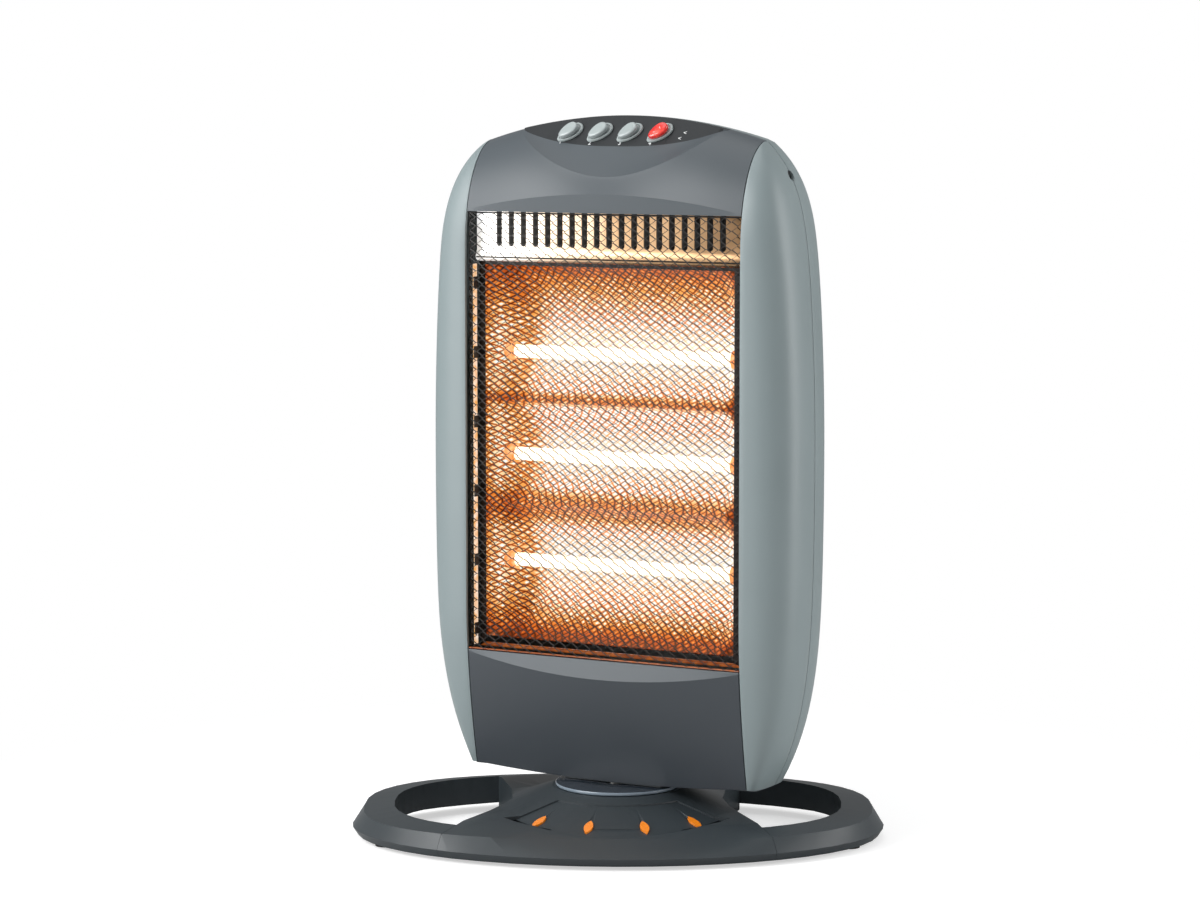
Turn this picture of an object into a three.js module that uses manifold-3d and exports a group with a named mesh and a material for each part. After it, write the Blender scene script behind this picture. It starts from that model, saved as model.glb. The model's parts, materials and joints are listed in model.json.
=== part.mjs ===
// Oscillating halogen room heater: an oval ring base with a bridge, and a turning head
// with three lamps behind a guard. Millimetres, +Z up, the front of the base towards -Y.
// The head is drawn square to its own axes (u right, v back, z up) and then turned.
import * as THREE from "three";
import { mergeVertices } from "three/addons/utils/BufferGeometryUtils.js";
import Module from "manifold-3d";

const wasm = await Module();
wasm.setup();
const { Manifold, Mesh } = wasm;

// ---- Driving sizes -------------------------------------------------------------------
const SEAT_GAP = 0.3; // air left between two touching pieces
const WALL = 2.5; // moulded shell wall
const FAR = 400; // past every piece
const HEAD_TURN_DEG = 28; // how far the head is turned from straight ahead
const HEAD_TURN = (HEAD_TURN_DEG * Math.PI) / 180;

const BASE = {
  halfWidth: 200,
  halfDepth: 125,
  rimTop: 9,
  rimFoot: 3,
  rimDraft: 4,
  crestInWidth: 9, // how far the crest lies inside the rim
  crestInDepth: 20,
  crestHeight: 23,
  crestTilt: 0.035,
  crestPower: 2.6,
  holeInWidth: 32, // how far the opening's edge lies inside the rim
  holeInDepth: 34,
  holePower: 2.5,
  holeRise: 3,
  wallFoot: 8,
  wall: 2.6,
};
const CREST = {
  halfWidth: BASE.halfWidth - BASE.crestInWidth,
  halfDepth: BASE.halfDepth - BASE.crestInDepth,
};
const HOLE = {
  halfWidth: BASE.halfWidth - BASE.holeInWidth,
  halfDepth: BASE.halfDepth - BASE.holeInDepth,
};
const HUB = {
  radius: 50,
  top: 39,
  skirtRadius: 104,
  skirtTop: 19.5,
  waist: 77,
  waistY: 8,
  leftFoot: 120,
  rightFoot: 106,
  rearFoot: 97,
  footY: 78,
};
const FAN = { inner: 60, outer: 101, angle: 56, recess: 1.2 };
const INSERT = { length: 16.5, width: 6.6, radius: 89, pitchDeg: 26.6, proud: 1, count: 4 };
const DISC = { radius: 47, thick: 2.6, bottom: 39.3 };
const FOOT = { radius: 8, height: 4, inset: 28, y: 38 };
const PLUNGER = { radius: 4.5, x: -48, y: 40, bottom: 0.3, top: 16.5 };
const COVER = { bottom: 4.5, thick: 2 };
const NECK = { radius: 8, bore: 5.2, bottom: 27, flangeRadius: 24 };
const MOTOR = { radius: 22, height: 13, y: 34, shaft: 3.2 };
const CRANK = { radius: 22, thick: 3, pinRadius: 2, throw: 19, lift: 1.5 };
const ARM = { thick: 4, width: 12, rim: 3, play: 0.6 };

const HEAD = {
  height: 540,
  crown: 18, // how far the top ridge falls from its middle to the band's edges
  bottom: 48,
  bottomSag: 5,
  bandHalf: 115,
  sideHalf: 155,
  sideMid: 290,
  partingV: 15,
  chinV: -14,
  chinStart: 33, // how far above the opening's lower edge the face starts to recede
  domeDepth: 43.7,
  domeRise: 98,
  rearDepth: 62,
  rearRise: 85,
  rearFoot: 132,
  footDraw: 14,
  rearPower: 2.8,
  sidePower: 3,
};
const SHOULDER = HEAD.height - HEAD.crown;
const DOME_BASE = HEAD.height - HEAD.domeRise;
const OPENING = { bottom: 137, below: 71.5, lens: 14, topCrown: 4, chinCrown: 5 };
const OPENING_TOP = HEAD.height - OPENING.below;
const POD = { half: 85, lowBelow: 45, lipBelow: 22.7, lipV: -4 };
const POD_LOW = HEAD.height - POD.lowBelow;
const POD_LIP = HEAD.height - POD.lipBelow;
const GUARD = { columns: 5, rows: 11, wire: 1.5, thick: 1, border: 2, recess: 1.5, side: 16 };
const VENT = { height: 46, over: 9.5, slots: 19, pitch: 10.45, slot: 4.2, foot: 10, v: -14 };
const VENT_TOP = OPENING_TOP + VENT.over;
const VENT_BOTTOM = VENT_TOP - VENT.height;
const LAMP = {
  levels: [362, 284, 203],
  v: 9,
  radius: 5,
  glass: 1,
  half: 98,
  capHalf: 7,
  bracketFront: -6.7,
};
const REFLECTOR = { ridges: [326, 248], half: 108, bottom: 146, mouthV: -11, depth: 40 };
const REFLECTOR_TOP = VENT_BOTTOM - 1 - SEAT_GAP;
const SWITCHES = {
  count: 4,
  pitch: 25.2,
  first: -42,
  length: 19,
  width: 10,
  along: 11.5,
  pivot: 0.5,
  tilt: 5,
};
const LOUVRE = { count: 7, pitch: 12, height: 4, half: 62, below: 152 };
const GLAND = { u: 60, z: 75, hole: 5.9, sleeve: 5.6, cap: 8.5, bore: 3.4 };
const SCREW = { radius: 4, below: 25, deep: 4.936849, shank: 1.5, reach: 30 };
const SCREW_Z = SHOULDER - SCREW.below;

// ---- Solids --------------------------------------------------------------------------
function solidOf(geometry) {
  const bare = new THREE.BufferGeometry();
  const source = geometry.index ? geometry.toNonIndexed() : geometry;
  bare.setAttribute("position", source.getAttribute("position"));
  const merged = mergeVertices(bare, 1e-4);
  return new Manifold(
    new Mesh({
      numProp: 3,
      vertProperties: new Float32Array(merged.attributes.position.array),
      triVerts: new Uint32Array(merged.index.array),
    }),
  );
}

function geometryOf(solid) {
  const mesh = solid.getMesh();
  const geometry = new THREE.BufferGeometry();
  geometry.setAttribute("position", new THREE.BufferAttribute(mesh.vertProperties, 3));
  geometry.setIndex(new THREE.BufferAttribute(mesh.triVerts, 1));
  const flat = geometry.toNonIndexed();
  flat.computeVertexNormals();
  return flat;
}

function minus(solid, ...tools) {
  return tools.reduce((left, tool) => left.subtract(tool), solid);
}

function join(...solids) {
  return solids.reduce((left, other) => left.add(other));
}

function box(low, high) {
  const size = high.map((value, i) => value - low[i]);
  const middle = high.map((value, i) => (value + low[i]) / 2);
  const geometry = new THREE.BoxGeometry(...size).translate(...middle);
  return solidOf(geometry);
}

// A round bar from one point to another.
function bar(from, to, radius, segments = 24, endRadius = radius) {
  const start = new THREE.Vector3(...from);
  const end = new THREE.Vector3(...to);
  const along = end.clone().sub(start);
  const geometry = new THREE.CylinderGeometry(endRadius, radius, along.length(), segments);
  const turn = new THREE.Quaternion().setFromUnitVectors(
    new THREE.Vector3(0, 1, 0),
    along.clone().normalize(),
  );
  geometry.applyQuaternion(turn);
  geometry.translate(...start.add(end).multiplyScalar(0.5).toArray());
  return solidOf(geometry);
}

// A plan outline, as [x, y] corners, raised from z low to z high.
function prism(outline, low, high, holes = []) {
  const shape = new THREE.Shape(outline.map(([x, y]) => new THREE.Vector2(x, y)));
  for (const hole of holes) {
    shape.holes.push(new THREE.Path(hole.map(([x, y]) => new THREE.Vector2(x, y))));
  }
  const geometry = new THREE.ExtrudeGeometry(shape, {
    depth: high - low,
    bevelEnabled: false,
    curveSegments: 8,
  });
  return solidOf(geometry.translate(0, 0, low));
}

function triangles(list, loopA, loopB) {
  const n = loopA.length;
  for (let i = 0; i < n; i += 1) {
    const j = (i + 1) % n;
    list.push(loopA[i], loopA[j], loopB[j], loopA[i], loopB[j], loopB[i]);
  }
}

function solidFromTriangles(list) {
  const flat = new Float32Array(list.flatMap((p) => p));
  const geometry = new THREE.BufferGeometry();
  geometry.setAttribute("position", new THREE.BufferAttribute(flat, 3));
  return solidOf(geometry);
}

// Closed loops of equal count, stacked upwards, counter-clockwise from above.
function loft(loops) {
  const list = [];
  for (let k = 0; k + 1 < loops.length; k += 1) {
    triangles(list, loops[k], loops[k + 1]);
  }
  const centre = (loop) => [0, 1, 2].map((i) => loop.reduce((s, p) => s + p[i], 0) / loop.length);
  const floor = loops[0];
  const lid = loops[loops.length - 1];
  const low = centre(floor);
  const high = centre(lid);
  for (let i = 0; i < floor.length; i += 1) {
    const j = (i + 1) % floor.length;
    list.push(floor[j], floor[i], low);
    list.push(lid[i], lid[j], high);
  }
  return solidFromTriangles(list);
}

// A wall between an outer and an inner grid of points of the same size.
function sheet(outer, inner) {
  const rows = outer.length;
  const columns = outer[0].length;
  const list = [];
  const quad = (a, b, c, d) => list.push(a, c, b, a, d, c);
  for (let i = 0; i + 1 < rows; i += 1) {
    for (let j = 0; j + 1 < columns; j += 1) {
      quad(outer[i][j], outer[i][j + 1], outer[i + 1][j + 1], outer[i + 1][j]);
      quad(inner[i][j], inner[i + 1][j], inner[i + 1][j + 1], inner[i][j + 1]);
    }
    const last = columns - 1;
    quad(outer[i][0], outer[i + 1][0], inner[i + 1][0], inner[i][0]);
    quad(outer[i][last], inner[i][last], inner[i + 1][last], outer[i + 1][last]);
  }
  for (let j = 0; j + 1 < columns; j += 1) {
    const last = rows - 1;
    quad(outer[0][j], inner[0][j], inner[0][j + 1], outer[0][j + 1]);
    quad(outer[last][j], outer[last][j + 1], inner[last][j + 1], inner[last][j]);
  }
  return solidFromTriangles(list);
}

const signedPower = (value, power) => Math.sign(value) * Math.abs(value) ** power;

// A superellipse's points, counter-clockwise from +X.
function oval(halfX, halfY, power, count, heightAt) {
  const points = [];
  for (let i = 0; i < count; i += 1) {
    const a = (2 * Math.PI * i) / count;
    const x = halfX * signedPower(Math.cos(a), 2 / power);
    const y = halfY * signedPower(Math.sin(a), 2 / power);
    points.push([x, y, heightAt(x, y)]);
  }
  return points;
}

// ---- The scene graph -----------------------------------------------------------------
const root = new THREE.Group();
root.name = "halogen_heater";
const baseGroup = new THREE.Group();
baseGroup.name = "base";
const headGroup = new THREE.Group();
headGroup.name = "head";
root.add(baseGroup, headGroup);

const FINISH = {
  dark: [0x4a5056, 0.5, 0],
  side: [0x8d9a9c, 0.5, 0],
  base: [0x3a4044, 0.55, 0],
  orange: [0xf58a1f, 0.35, 0],
  rubber: [0x1b1b1b, 0.9, 0],
  steel: [0x9a9a98, 0.35, 1],
  polished: [0xd8d8d8, 0.12, 1],
  wire: [0x151515, 0.5, 0.4],
  glass: [0xfff3dd, 0.05, 0],
  filament: [0xff9a3a, 0.5, 0],
  ceramic: [0xe9e4d8, 0.8, 0],
  switchGrey: [0x9fa8a8, 0.4, 0],
  red: [0xd3202a, 0.3, 0],
  black: [0x222222, 0.5, 0],
  pale: [0xc9d2d6, 0.15, 0.6],
};

function add(group, name, solid, finish) {
  const [color, roughness, metalness] = FINISH[finish];
  const turned = group === headGroup ? solid.rotate([0, 0, -HEAD_TURN_DEG]) : solid;
  const material = new THREE.MeshStandardMaterial({ color, roughness, metalness });
  const mesh = new THREE.Mesh(geometryOf(turned), material);
  mesh.name = name;
  group.add(mesh);
}

// ---- Base ----------------------------------------------------------------------------
const RING_STEPS = 48;
const crestZ = (y) => BASE.crestHeight + BASE.crestTilt * y;

function ringBody(inset, drop) {
  const w = BASE.halfWidth - inset;
  const d = BASE.halfDepth - inset;
  const floor = BASE.rimFoot - (inset ? 5 : 0);
  const foot = oval(w - BASE.rimDraft, d - BASE.rimDraft, 2, RING_STEPS, () => floor);
  const rim = oval(w, d, 2, RING_STEPS, () => BASE.rimTop - drop * 0.6);
  const crest = oval(
    CREST.halfWidth - inset,
    CREST.halfDepth - inset,
    BASE.crestPower,
    RING_STEPS,
    (x, y) => crestZ(y) - drop,
  );
  const lip = oval(
    HOLE.halfWidth - 8,
    HOLE.halfDepth - 8,
    BASE.holePower,
    RING_STEPS,
    (x, y) => crestZ(y) + BASE.holeRise * 1.4 - drop,
  );
  return loft([foot, rim, crest, lip]);
}

function ringHole(grow) {
  const half = HOLE.halfWidth + grow;
  const deep = HOLE.halfDepth + grow;
  const outline = oval(half, deep, BASE.holePower, RING_STEPS, () => 0);
  return prism(outline.map(([x, y]) => [x, y]), -5, 80);
}

// The bridge's edges: wide at the front and back, narrow at the waist.
function bridgeOutline(grow) {
  const side = (sign, foot) => {
    const edge = [];
    const steps = 8;
    const end = BASE.halfDepth + 13;
    for (let i = 0; i <= steps; i += 1) {
      const y = -end + (2 * end * i) / steps;
      const reach = Math.min(Math.abs(y - HUB.waistY) / (HUB.footY + HUB.waistY), 1.5);
      const wide = y < HUB.waistY ? foot : HUB.rearFoot;
      edge.push([sign * (HUB.waist + (wide - HUB.waist) * reach ** 1.25 + grow), y]);
    }
    return edge;
  };
  const right = side(1, HUB.rightFoot);
  const left = side(-1, HUB.leftFoot).reverse();
  return [...right, ...left];
}

const hubSlope = (HUB.top - HUB.skirtTop) / (HUB.skirtRadius - HUB.radius);

function hubCone(radiusShift, drop) {
  const reach = 190;
  const low = HUB.top - hubSlope * (reach - HUB.radius);
  const ringAt = (r, z) => oval(r, r, 2, 48, () => z - drop);
  return loft([ringAt(reach, low), ringAt(HUB.radius, HUB.top), ringAt(HUB.radius - 1, HUB.top)]);
}

// The bridge covers the whole front of the ring between its two end seams.
function bridgeZone(grow) {
  return prism(bridgeOutline(grow), -10, 90);
}

function bridgeBody(inset, drop) {
  const ringPart = ringBody(inset, drop);
  const hub = hubCone(0, drop).intersect(ringHole(-WALL + SEAT_GAP + (inset ? -1 : 0)));
  const floorCut = box([-FAR, -FAR, -80], [FAR, FAR, inset ? -2 : BASE.rimFoot]);
  return minus(join(ringPart, hub), floorCut);
}

function fanSector(inner, outer, angle, low, high) {
  const points = [];
  const a = (angle * Math.PI) / 180;
  const steps = 14;
  const narrow = 0.84;
  for (let i = 0; i <= steps; i += 1) {
    const t = -Math.PI / 2 - a + (2 * a * i) / steps;
    points.push([outer * Math.cos(t), outer * Math.sin(t)]);
  }
  for (let i = steps; i >= 0; i -= 1) {
    const t = -Math.PI / 2 - a * narrow + (2 * a * narrow * i) / steps;
    points.push([inner * Math.cos(t), inner * Math.sin(t)]);
  }
  return prism(points, low, high);
}

const coneZ = (r) => HUB.top - hubSlope * (r - HUB.radius);

function leaf(length, width, low, high) {
  const outline = [];
  const steps = 7;
  for (let side = 0; side < 2; side += 1) {
    for (let i = 0; i < steps; i += 1) {
      const t = side ? 1 - i / steps : i / steps;
      const half = (width / 2) * Math.sin(Math.PI * t) ** 0.8 * (side ? -1 : 1);
      outline.push([-half, -length / 2 + length * t]);
    }
  }
  return prism(outline.reverse(), low, high);
}

// Sets a piece drawn flat at the origin onto the hub's cone, pointing at the axis.
function ontoCone(solid, radius, angleDeg) {
  const slope = (Math.atan(hubSlope) * 180) / Math.PI;
  return solid
    .rotate([slope, 0, 0])
    .translate([0, -radius, coneZ(radius)])
    .rotate([0, 0, angleDeg]);
}

function insertAngles() {
  const angles = [];
  for (let i = 0; i < INSERT.count; i += 1) {
    angles.push((i - (INSERT.count - 1) / 2) * INSERT.pitchDeg);
  }
  return angles;
}

function footPlaces() {
  const places = [];
  for (const sy of [-1, 1]) {
    for (const sx of [-1, 1]) places.push([sx * (BASE.halfWidth - FOOT.inset), sy * FOOT.y]);
  }
  return places;
}

// A boss under the ring's top wall that a foot plugs into.
function footBoss(x, y) {
  const post = bar([x, y, FOOT.height + SEAT_GAP], [x, y, 40], FOOT.radius, 20);
  return post.intersect(ringBody(0, 0)).subtract(ringHole(0.5));
}

function buildBase() {
  const open = ringHole(0);
  const sunk = ringHole(BASE.wall);
  const shell = minus(ringBody(0, 0), ringBody(BASE.wall, BASE.wall).subtract(sunk), open);
  const lift = box([-FAR, -FAR, -20], [FAR, FAR, BASE.wallFoot]).intersect(
    ringHole(BASE.wall + 6),
  );
  let ring = minus(shell, lift);
  ring = join(ring, ...footPlaces().map(([x, y]) => footBoss(x, y)));
  ring = minus(ring, ...footPlaces().map(([x, y]) => bar([x, y, 0], [x, y, 9], 4.3, 16)));
  const seam = bridgeZone(SEAT_GAP);
  const front = box([-FAR, -FAR, -20], [FAR, 1, FAR]);
  const ringPiece = minus(ring, seam.intersect(front));
  add(baseGroup, "base_ring", ringPiece, "base");

  const lidZone = ringHole(-SEAT_GAP - 0.2);
  const behind = box([-FAR, 0, -20], [FAR, FAR, FAR]);
  const zone = bridgeZone(0).intersect(join(front, lidZone.intersect(behind)));
  const solidBridge = bridgeBody(0, 0).intersect(zone);
  const hollowZone = bridgeZone(-BASE.wall).intersect(
    box([-FAR, -FAR, -20], [FAR, HOLE.halfDepth - BASE.wall - 1, 100]),
  );
  const hollow = bridgeBody(BASE.wall, BASE.wall).intersect(hollowZone);
  const recess = fanRecess();
  let bridge = minus(solidBridge, hollow, recess);
  bridge = minus(bridge, bar([0, 0, 0], [0, 0, 60], NECK.radius + SEAT_GAP, 24));
  for (const angle of insertAngles()) {
    const pocket = leaf(INSERT.length + 0.6, INSERT.width + 0.6, -1.9, 8);
    const groove = bar([0, 4, 0.3], [0, 25, 0.3], 2.6, 12, 1.4);
    bridge = minus(
      bridge,
      ontoCone(pocket, INSERT.radius, angle),
      ontoCone(groove, INSERT.radius, angle),
    );
    const piece = leaf(INSERT.length, INSERT.width, -1.6, INSERT.proud - FAN.recess + 0.4);
    const index = insertAngles().indexOf(angle) + 1;
    add(baseGroup, `accent_insert_${index}`, ontoCone(piece, INSERT.radius, angle), "orange");
  }
  add(baseGroup, "base_bridge", bridge, "base");
  return bridge;
}

function fanRecess() {
  const sector = fanSector(FAN.inner, FAN.outer, FAN.angle, -10, 90);
  const band = minus(hubCone(0, -30), hubCone(0, FAN.recess));
  return sector.intersect(band);
}

function buildBaseFittings() {
  const disc = minus(
    bar([0, 0, DISC.bottom], [0, 0, DISC.bottom + DISC.thick], DISC.radius, 48),
    bar([0, 0, 0], [0, 0, 80], NECK.radius + SEAT_GAP, 24),
  );
  add(baseGroup, "turntable_disc", disc, "pale");
  footPlaces().forEach(([x, y], i) => {
    const pad = join(
      bar([x, y, 0], [x, y, FOOT.height], FOOT.radius, 20),
      bar([x, y, FOOT.height - 1], [x, y, FOOT.height + 2], FOOT.radius - 4, 12),
    );
    add(baseGroup, `rubber_foot_${i + 1}`, pad, "rubber");
  });
  const coverTop = COVER.bottom + COVER.thick;
  const inside = bridgeZone(-BASE.wall - SEAT_GAP).intersect(
    box(
      [-FAR, -FAR, COVER.bottom],
      [FAR, HOLE.halfDepth - BASE.wall - 1.4, coverTop],
    ),
  );
  const gap = BASE.wall + SEAT_GAP + 0.2;
  const cover = minus(
    inside.intersect(join(ringBody(gap, gap), ringHole(-4))),
    bar([PLUNGER.x, PLUNGER.y, 0], [PLUNGER.x, PLUNGER.y, 10], PLUNGER.radius + 0.5, 20),
  );
  add(baseGroup, "base_cover", cover, "base");
  const rod = bar(
    [PLUNGER.x, PLUNGER.y, PLUNGER.bottom],
    [PLUNGER.x, PLUNGER.y, PLUNGER.top],
    PLUNGER.radius,
    20,
  );
  add(baseGroup, "tip_plunger", rod, "black");
  const low = PLUNGER.top + SEAT_GAP;
  const tipSwitch = join(
    box([PLUNGER.x - 10, PLUNGER.y - 6, low], [PLUNGER.x + 10, PLUNGER.y + 6, low + 10]),
    box(
      [PLUNGER.x - 10, PLUNGER.y + 5, coverTop + SEAT_GAP],
      [PLUNGER.x + 10, PLUNGER.y + 8, low + 10],
    ),
  );
  add(baseGroup, "tip_switch", tipSwitch, "black");
}

// ---- Turning drive -------------------------------------------------------------------
function buildDrive() {
  const floor = COVER.bottom + COVER.thick + SEAT_GAP;
  const motorTop = floor + MOTOR.height;
  const crankLow = motorTop + CRANK.lift;
  const crankTop = crankLow + CRANK.thick;
  const at = (z) => [0, MOTOR.y, z];
  const motor = join(
    bar(at(floor), at(motorTop), MOTOR.radius, 32),
    bar(at(motorTop - 1), at(crankTop), MOTOR.shaft, 16),
  );
  add(baseGroup, "oscillation_motor", motor, "steel");
  const phase = HEAD_TURN + Math.asin((MOTOR.y * Math.sin(HEAD_TURN)) / CRANK.throw);
  const pinX = CRANK.throw * Math.sin(phase);
  const pinY = MOTOR.y + CRANK.throw * Math.cos(phase);
  const crank = minus(
    join(
      bar(at(crankLow), at(crankTop), CRANK.radius, 32),
      bar([pinX, pinY, crankTop - 1], [pinX, pinY, NECK.bottom + 0.2], CRANK.pinRadius, 16),
    ),
    bar(at(0), at(60), MOTOR.shaft + SEAT_GAP, 16),
  );
  add(baseGroup, "motor_crank", crank, "ceramic");
  const armLow = NECK.bottom + 0.5;
  const armTop = armLow + ARM.thick;
  const half = ARM.width / 2;
  const slot = CRANK.pinRadius + ARM.play;
  const slotStart = MOTOR.y - CRANK.throw - slot;
  const slotEnd = MOTOR.y + CRANK.throw + slot;
  const arm = minus(
    join(
      bar([0, 0, armLow], [0, 0, armTop], NECK.radius + 5, 32),
      box([-half, 0, armLow], [half, slotEnd + ARM.rim, armTop]),
    ),
    box([-slot, slotStart, 0], [slot, slotEnd, 60]),
    bar([0, 0, 0], [0, 0, 60], NECK.radius + SEAT_GAP, 32),
  );
  add(headGroup, "drive_arm", arm, "ceramic");
  const plateTop = HEAD.bottom + 1;
  const clipLow = armTop + SEAT_GAP;
  const clip = minus(
    bar([0, 0, clipLow], [0, 0, HUB.top - BASE.wall - SEAT_GAP], NECK.radius + 7, 32),
    bar([0, 0, 0], [0, 0, 60], NECK.radius + SEAT_GAP, 32),
  );
  add(headGroup, "neck_clip", clip, "steel");
  const neck = minus(
    join(
      bar([0, 0, NECK.bottom], [0, 0, plateTop + 2], NECK.radius, 32),
      bar([0, 0, plateTop + SEAT_GAP], [0, 0, plateTop + 3], NECK.flangeRadius, 32).intersect(
        farBox([null, floorFront + 0.6, null], [null, null, null]),
      ),
    ),
    bar([0, 0, 0], [0, 0, 80], NECK.bore, 24),
  );
  add(headGroup, "swivel_neck", neck, "steel");
}

// ---- Head shell ----------------------------------------------------------------------
const SIDE_STEPS = 6;
const REAR_STEPS = 6;
// Where the outline is drawn: steps up from the floor, and steps down from the top.
const FLOOR_STEPS = [0, 12, 30, 56, 97, 162, 242, 312, 362];
const CROWN_STEPS = [95, 70, 52, 40, 31, 24, 19, 14, 9, 3.5];
const LEVELS = [
  ...FLOOR_STEPS.map((up) => HEAD.bottom + up).filter((z) => z < HEAD.height - CROWN_STEPS[0] - 20),
  ...CROWN_STEPS.map((down) => HEAD.height - down),
];
const domeTop = (u) => HEAD.height - HEAD.crown * (u / HEAD.bandHalf) ** 2;
const bottomZ = (u) => HEAD.bottom - HEAD.bottomSag * (1 - (u / HEAD.bandHalf) ** 2);
const domeFrontV = HEAD.partingV - HEAD.domeDepth;
const floorFront = faceV(0, HEAD.bottom - HEAD.bottomSag) + WALL + 2 * SEAT_GAP;

// The front face's place in depth: a dome above, upright in the middle, receding below.
function faceV(u, z) {
  if (z > DOME_BASE) {
    const t = Math.min((z - DOME_BASE) / (domeTop(u) - DOME_BASE), 1);
    return HEAD.partingV - HEAD.domeDepth * Math.sqrt(1 - t * t);
  }
  const chinTop = OPENING.bottom + HEAD.chinStart;
  if (z >= chinTop) return domeFrontV;
  const t = (chinTop - z) / (chinTop - HEAD.bottom);
  return domeFrontV + (HEAD.chinV - domeFrontV) * t ** 1.7;
}

function sideHalf(z) {
  if (z > SHOULDER) {
    const rise = (HEAD.height - z) / HEAD.crown;
    return HEAD.bandHalf * Math.sqrt(Math.max(rise, 0.0004));
  }
  if (z > HEAD.sideMid) {
    const w = (z - HEAD.sideMid) / (SHOULDER - HEAD.sideMid);
    return HEAD.sideHalf - 14 * w ** 2 - (HEAD.sideHalf - HEAD.bandHalf - 14) * w ** 9;
  }
  const w = (HEAD.sideMid - z) / (HEAD.sideMid - HEAD.bottom);
  return HEAD.sideHalf - 6 * w ** 2 - 25 * w ** 5;
}

function rearDepth(z) {
  const start = HEAD.height - HEAD.rearRise;
  if (z > start) {
    const t = (z - start) / (HEAD.height - start);
    return HEAD.rearDepth * Math.sqrt(Math.max(1 - t * t, 0.0004));
  }
  const w = Math.max(0, 1 - (z - HEAD.bottom) / HEAD.rearFoot);
  return HEAD.rearDepth - HEAD.footDraw * w ** 2;
}

// One level of the head's outline, drawn in by inset.
function headLoop(z, inset) {
  const lift = z > HEAD.sideMid ? Math.min(inset, (z - HEAD.sideMid) / 20) : 0;
  const half = Math.max(sideHalf(z + lift) - inset, 0.6);
  const depth = Math.max(rearDepth(z + lift) - inset, 0.6);
  const seam = Math.min(HEAD.bandHalf, 0.97 * half);
  const front = Math.min(faceV(HEAD.bandHalf, z + lift) + inset, HEAD.partingV - 0.4);
  const points = [];
  for (let i = 0; i <= SIDE_STEPS; i += 1) {
    const a = (Math.PI / 2) * (i / SIDE_STEPS);
    const out = Math.sin(a) ** (2 / HEAD.sidePower);
    const back = 1 - Math.cos(a) ** (2 / HEAD.sidePower);
    points.push([
      seam + (half - seam) * (i === SIDE_STEPS ? 1 : out),
      front + (HEAD.partingV - front) * (i === SIDE_STEPS ? 1 : back),
    ]);
  }
  for (let i = 1; i <= REAR_STEPS; i += 1) {
    const a = (Math.PI / 2) * (i / REAR_STEPS);
    points.push([
      i === REAR_STEPS ? 0 : half * Math.cos(a) ** (2 / HEAD.rearPower),
      HEAD.partingV + depth * Math.sin(a) ** (2 / HEAD.rearPower),
    ]);
  }
  const mirrored = points
    .slice(0, -1)
    .reverse()
    .map(([x, y]) => [-x, y]);
  return [...points, ...mirrored].map(([x, y]) => [x, y, z]);
}

function headBody(inset) {
  const levels = LEVELS.filter((z) => z < HEAD.height - inset - 1);
  const loops = levels.map((z) => headLoop(z, inset));
  if (!inset) return loft([...loops, headLoop(HEAD.height - 0.4, 0)]);
  const floor = headLoop(HEAD.bottom, inset).map(([x, y]) => [x, y, HEAD.bottom - 10]);
  return loft([floor, ...loops]);
}

// Profile points [v, z] moved inwards by the wall; the first and last stay on their planes.
function innerProfile(profile) {
  const last = profile.length - 1;
  return profile.map(([v, z], i) => {
    if (i === 0) return [v + WALL, z];
    if (i === last) return [v, z - WALL];
    const [va, za] = profile[i - 1];
    const [vb, zb] = profile[i + 1];
    const length = Math.hypot(vb - va, zb - za);
    return [v + (WALL * (zb - za)) / length, z - (WALL * (vb - va)) / length];
  });
}

function columnsAcross(count) {
  const half = HEAD.bandHalf - SEAT_GAP / 2;
  return Array.from({ length: count + 1 }, (_, i) => -half + (2 * half * i) / count);
}

const mix = (a, b, t) => a + (b - a) * t;
const crownAt = (u) => 1 - (u / HEAD.bandHalf) ** 2;
const controlSlope = (HEAD.height - POD_LIP) / (HEAD.partingV - 2 - POD.lipV);

function topProfile(u) {
  const q = Math.min(Math.abs(u) / POD.half, 1);
  const top = domeTop(u);
  const creaseZ = OPENING_TOP + 1.2 + (OPENING.lens - 1.2) * crownAt(u);
  const tipZ = domeTop(POD.half);
  const lowZ = q < 1 ? mix(POD_LOW, tipZ - 1.2, q ** 1.9) : top - 1.2;
  const lipZ = q < 1 ? mix(POD_LIP, tipZ - 0.8, q ** 2.6) : top - 0.8;
  const planeV = POD.lipV + (lipZ - POD_LIP) / controlSlope;
  const lipV = mix(planeV, faceV(u, lipZ), q ** 12);
  const points = [[faceV(HEAD.bandHalf, OPENING_TOP), OPENING_TOP]];
  for (const s of [0, 0.4, 0.75, 1]) {
    const z = mix(creaseZ, lowZ, s);
    points.push([faceV(u, z) - OPENING.topCrown * crownAt(u) * (1 - s) ** 1.2, z]);
  }
  points.push([lipV, lipZ]);
  const meetV = POD.lipV + (top - 0.15 - POD_LIP) / controlSlope;
  const edgeV = q < 1 ? Math.max(meetV, lipV + 0.6) : HEAD.partingV - 3;
  points.push([edgeV, top - 0.15]);
  points.push([HEAD.partingV - SEAT_GAP / 2, top]);
  return points;
}

function chinProfile(u) {
  const creaseZ = OPENING.bottom - 1.2 - (OPENING.lens - 1.2) * crownAt(u);
  const points = [[faceV(HEAD.bandHalf, OPENING.bottom), OPENING.bottom]];
  for (const s of [0, 0.25, 0.5, 0.75, 1]) {
    const z = mix(creaseZ, bottomZ(u), s);
    points.push([faceV(u, z) - OPENING.chinCrown * crownAt(u) * (1 - s), z]);
  }
  return points;
}

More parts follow.
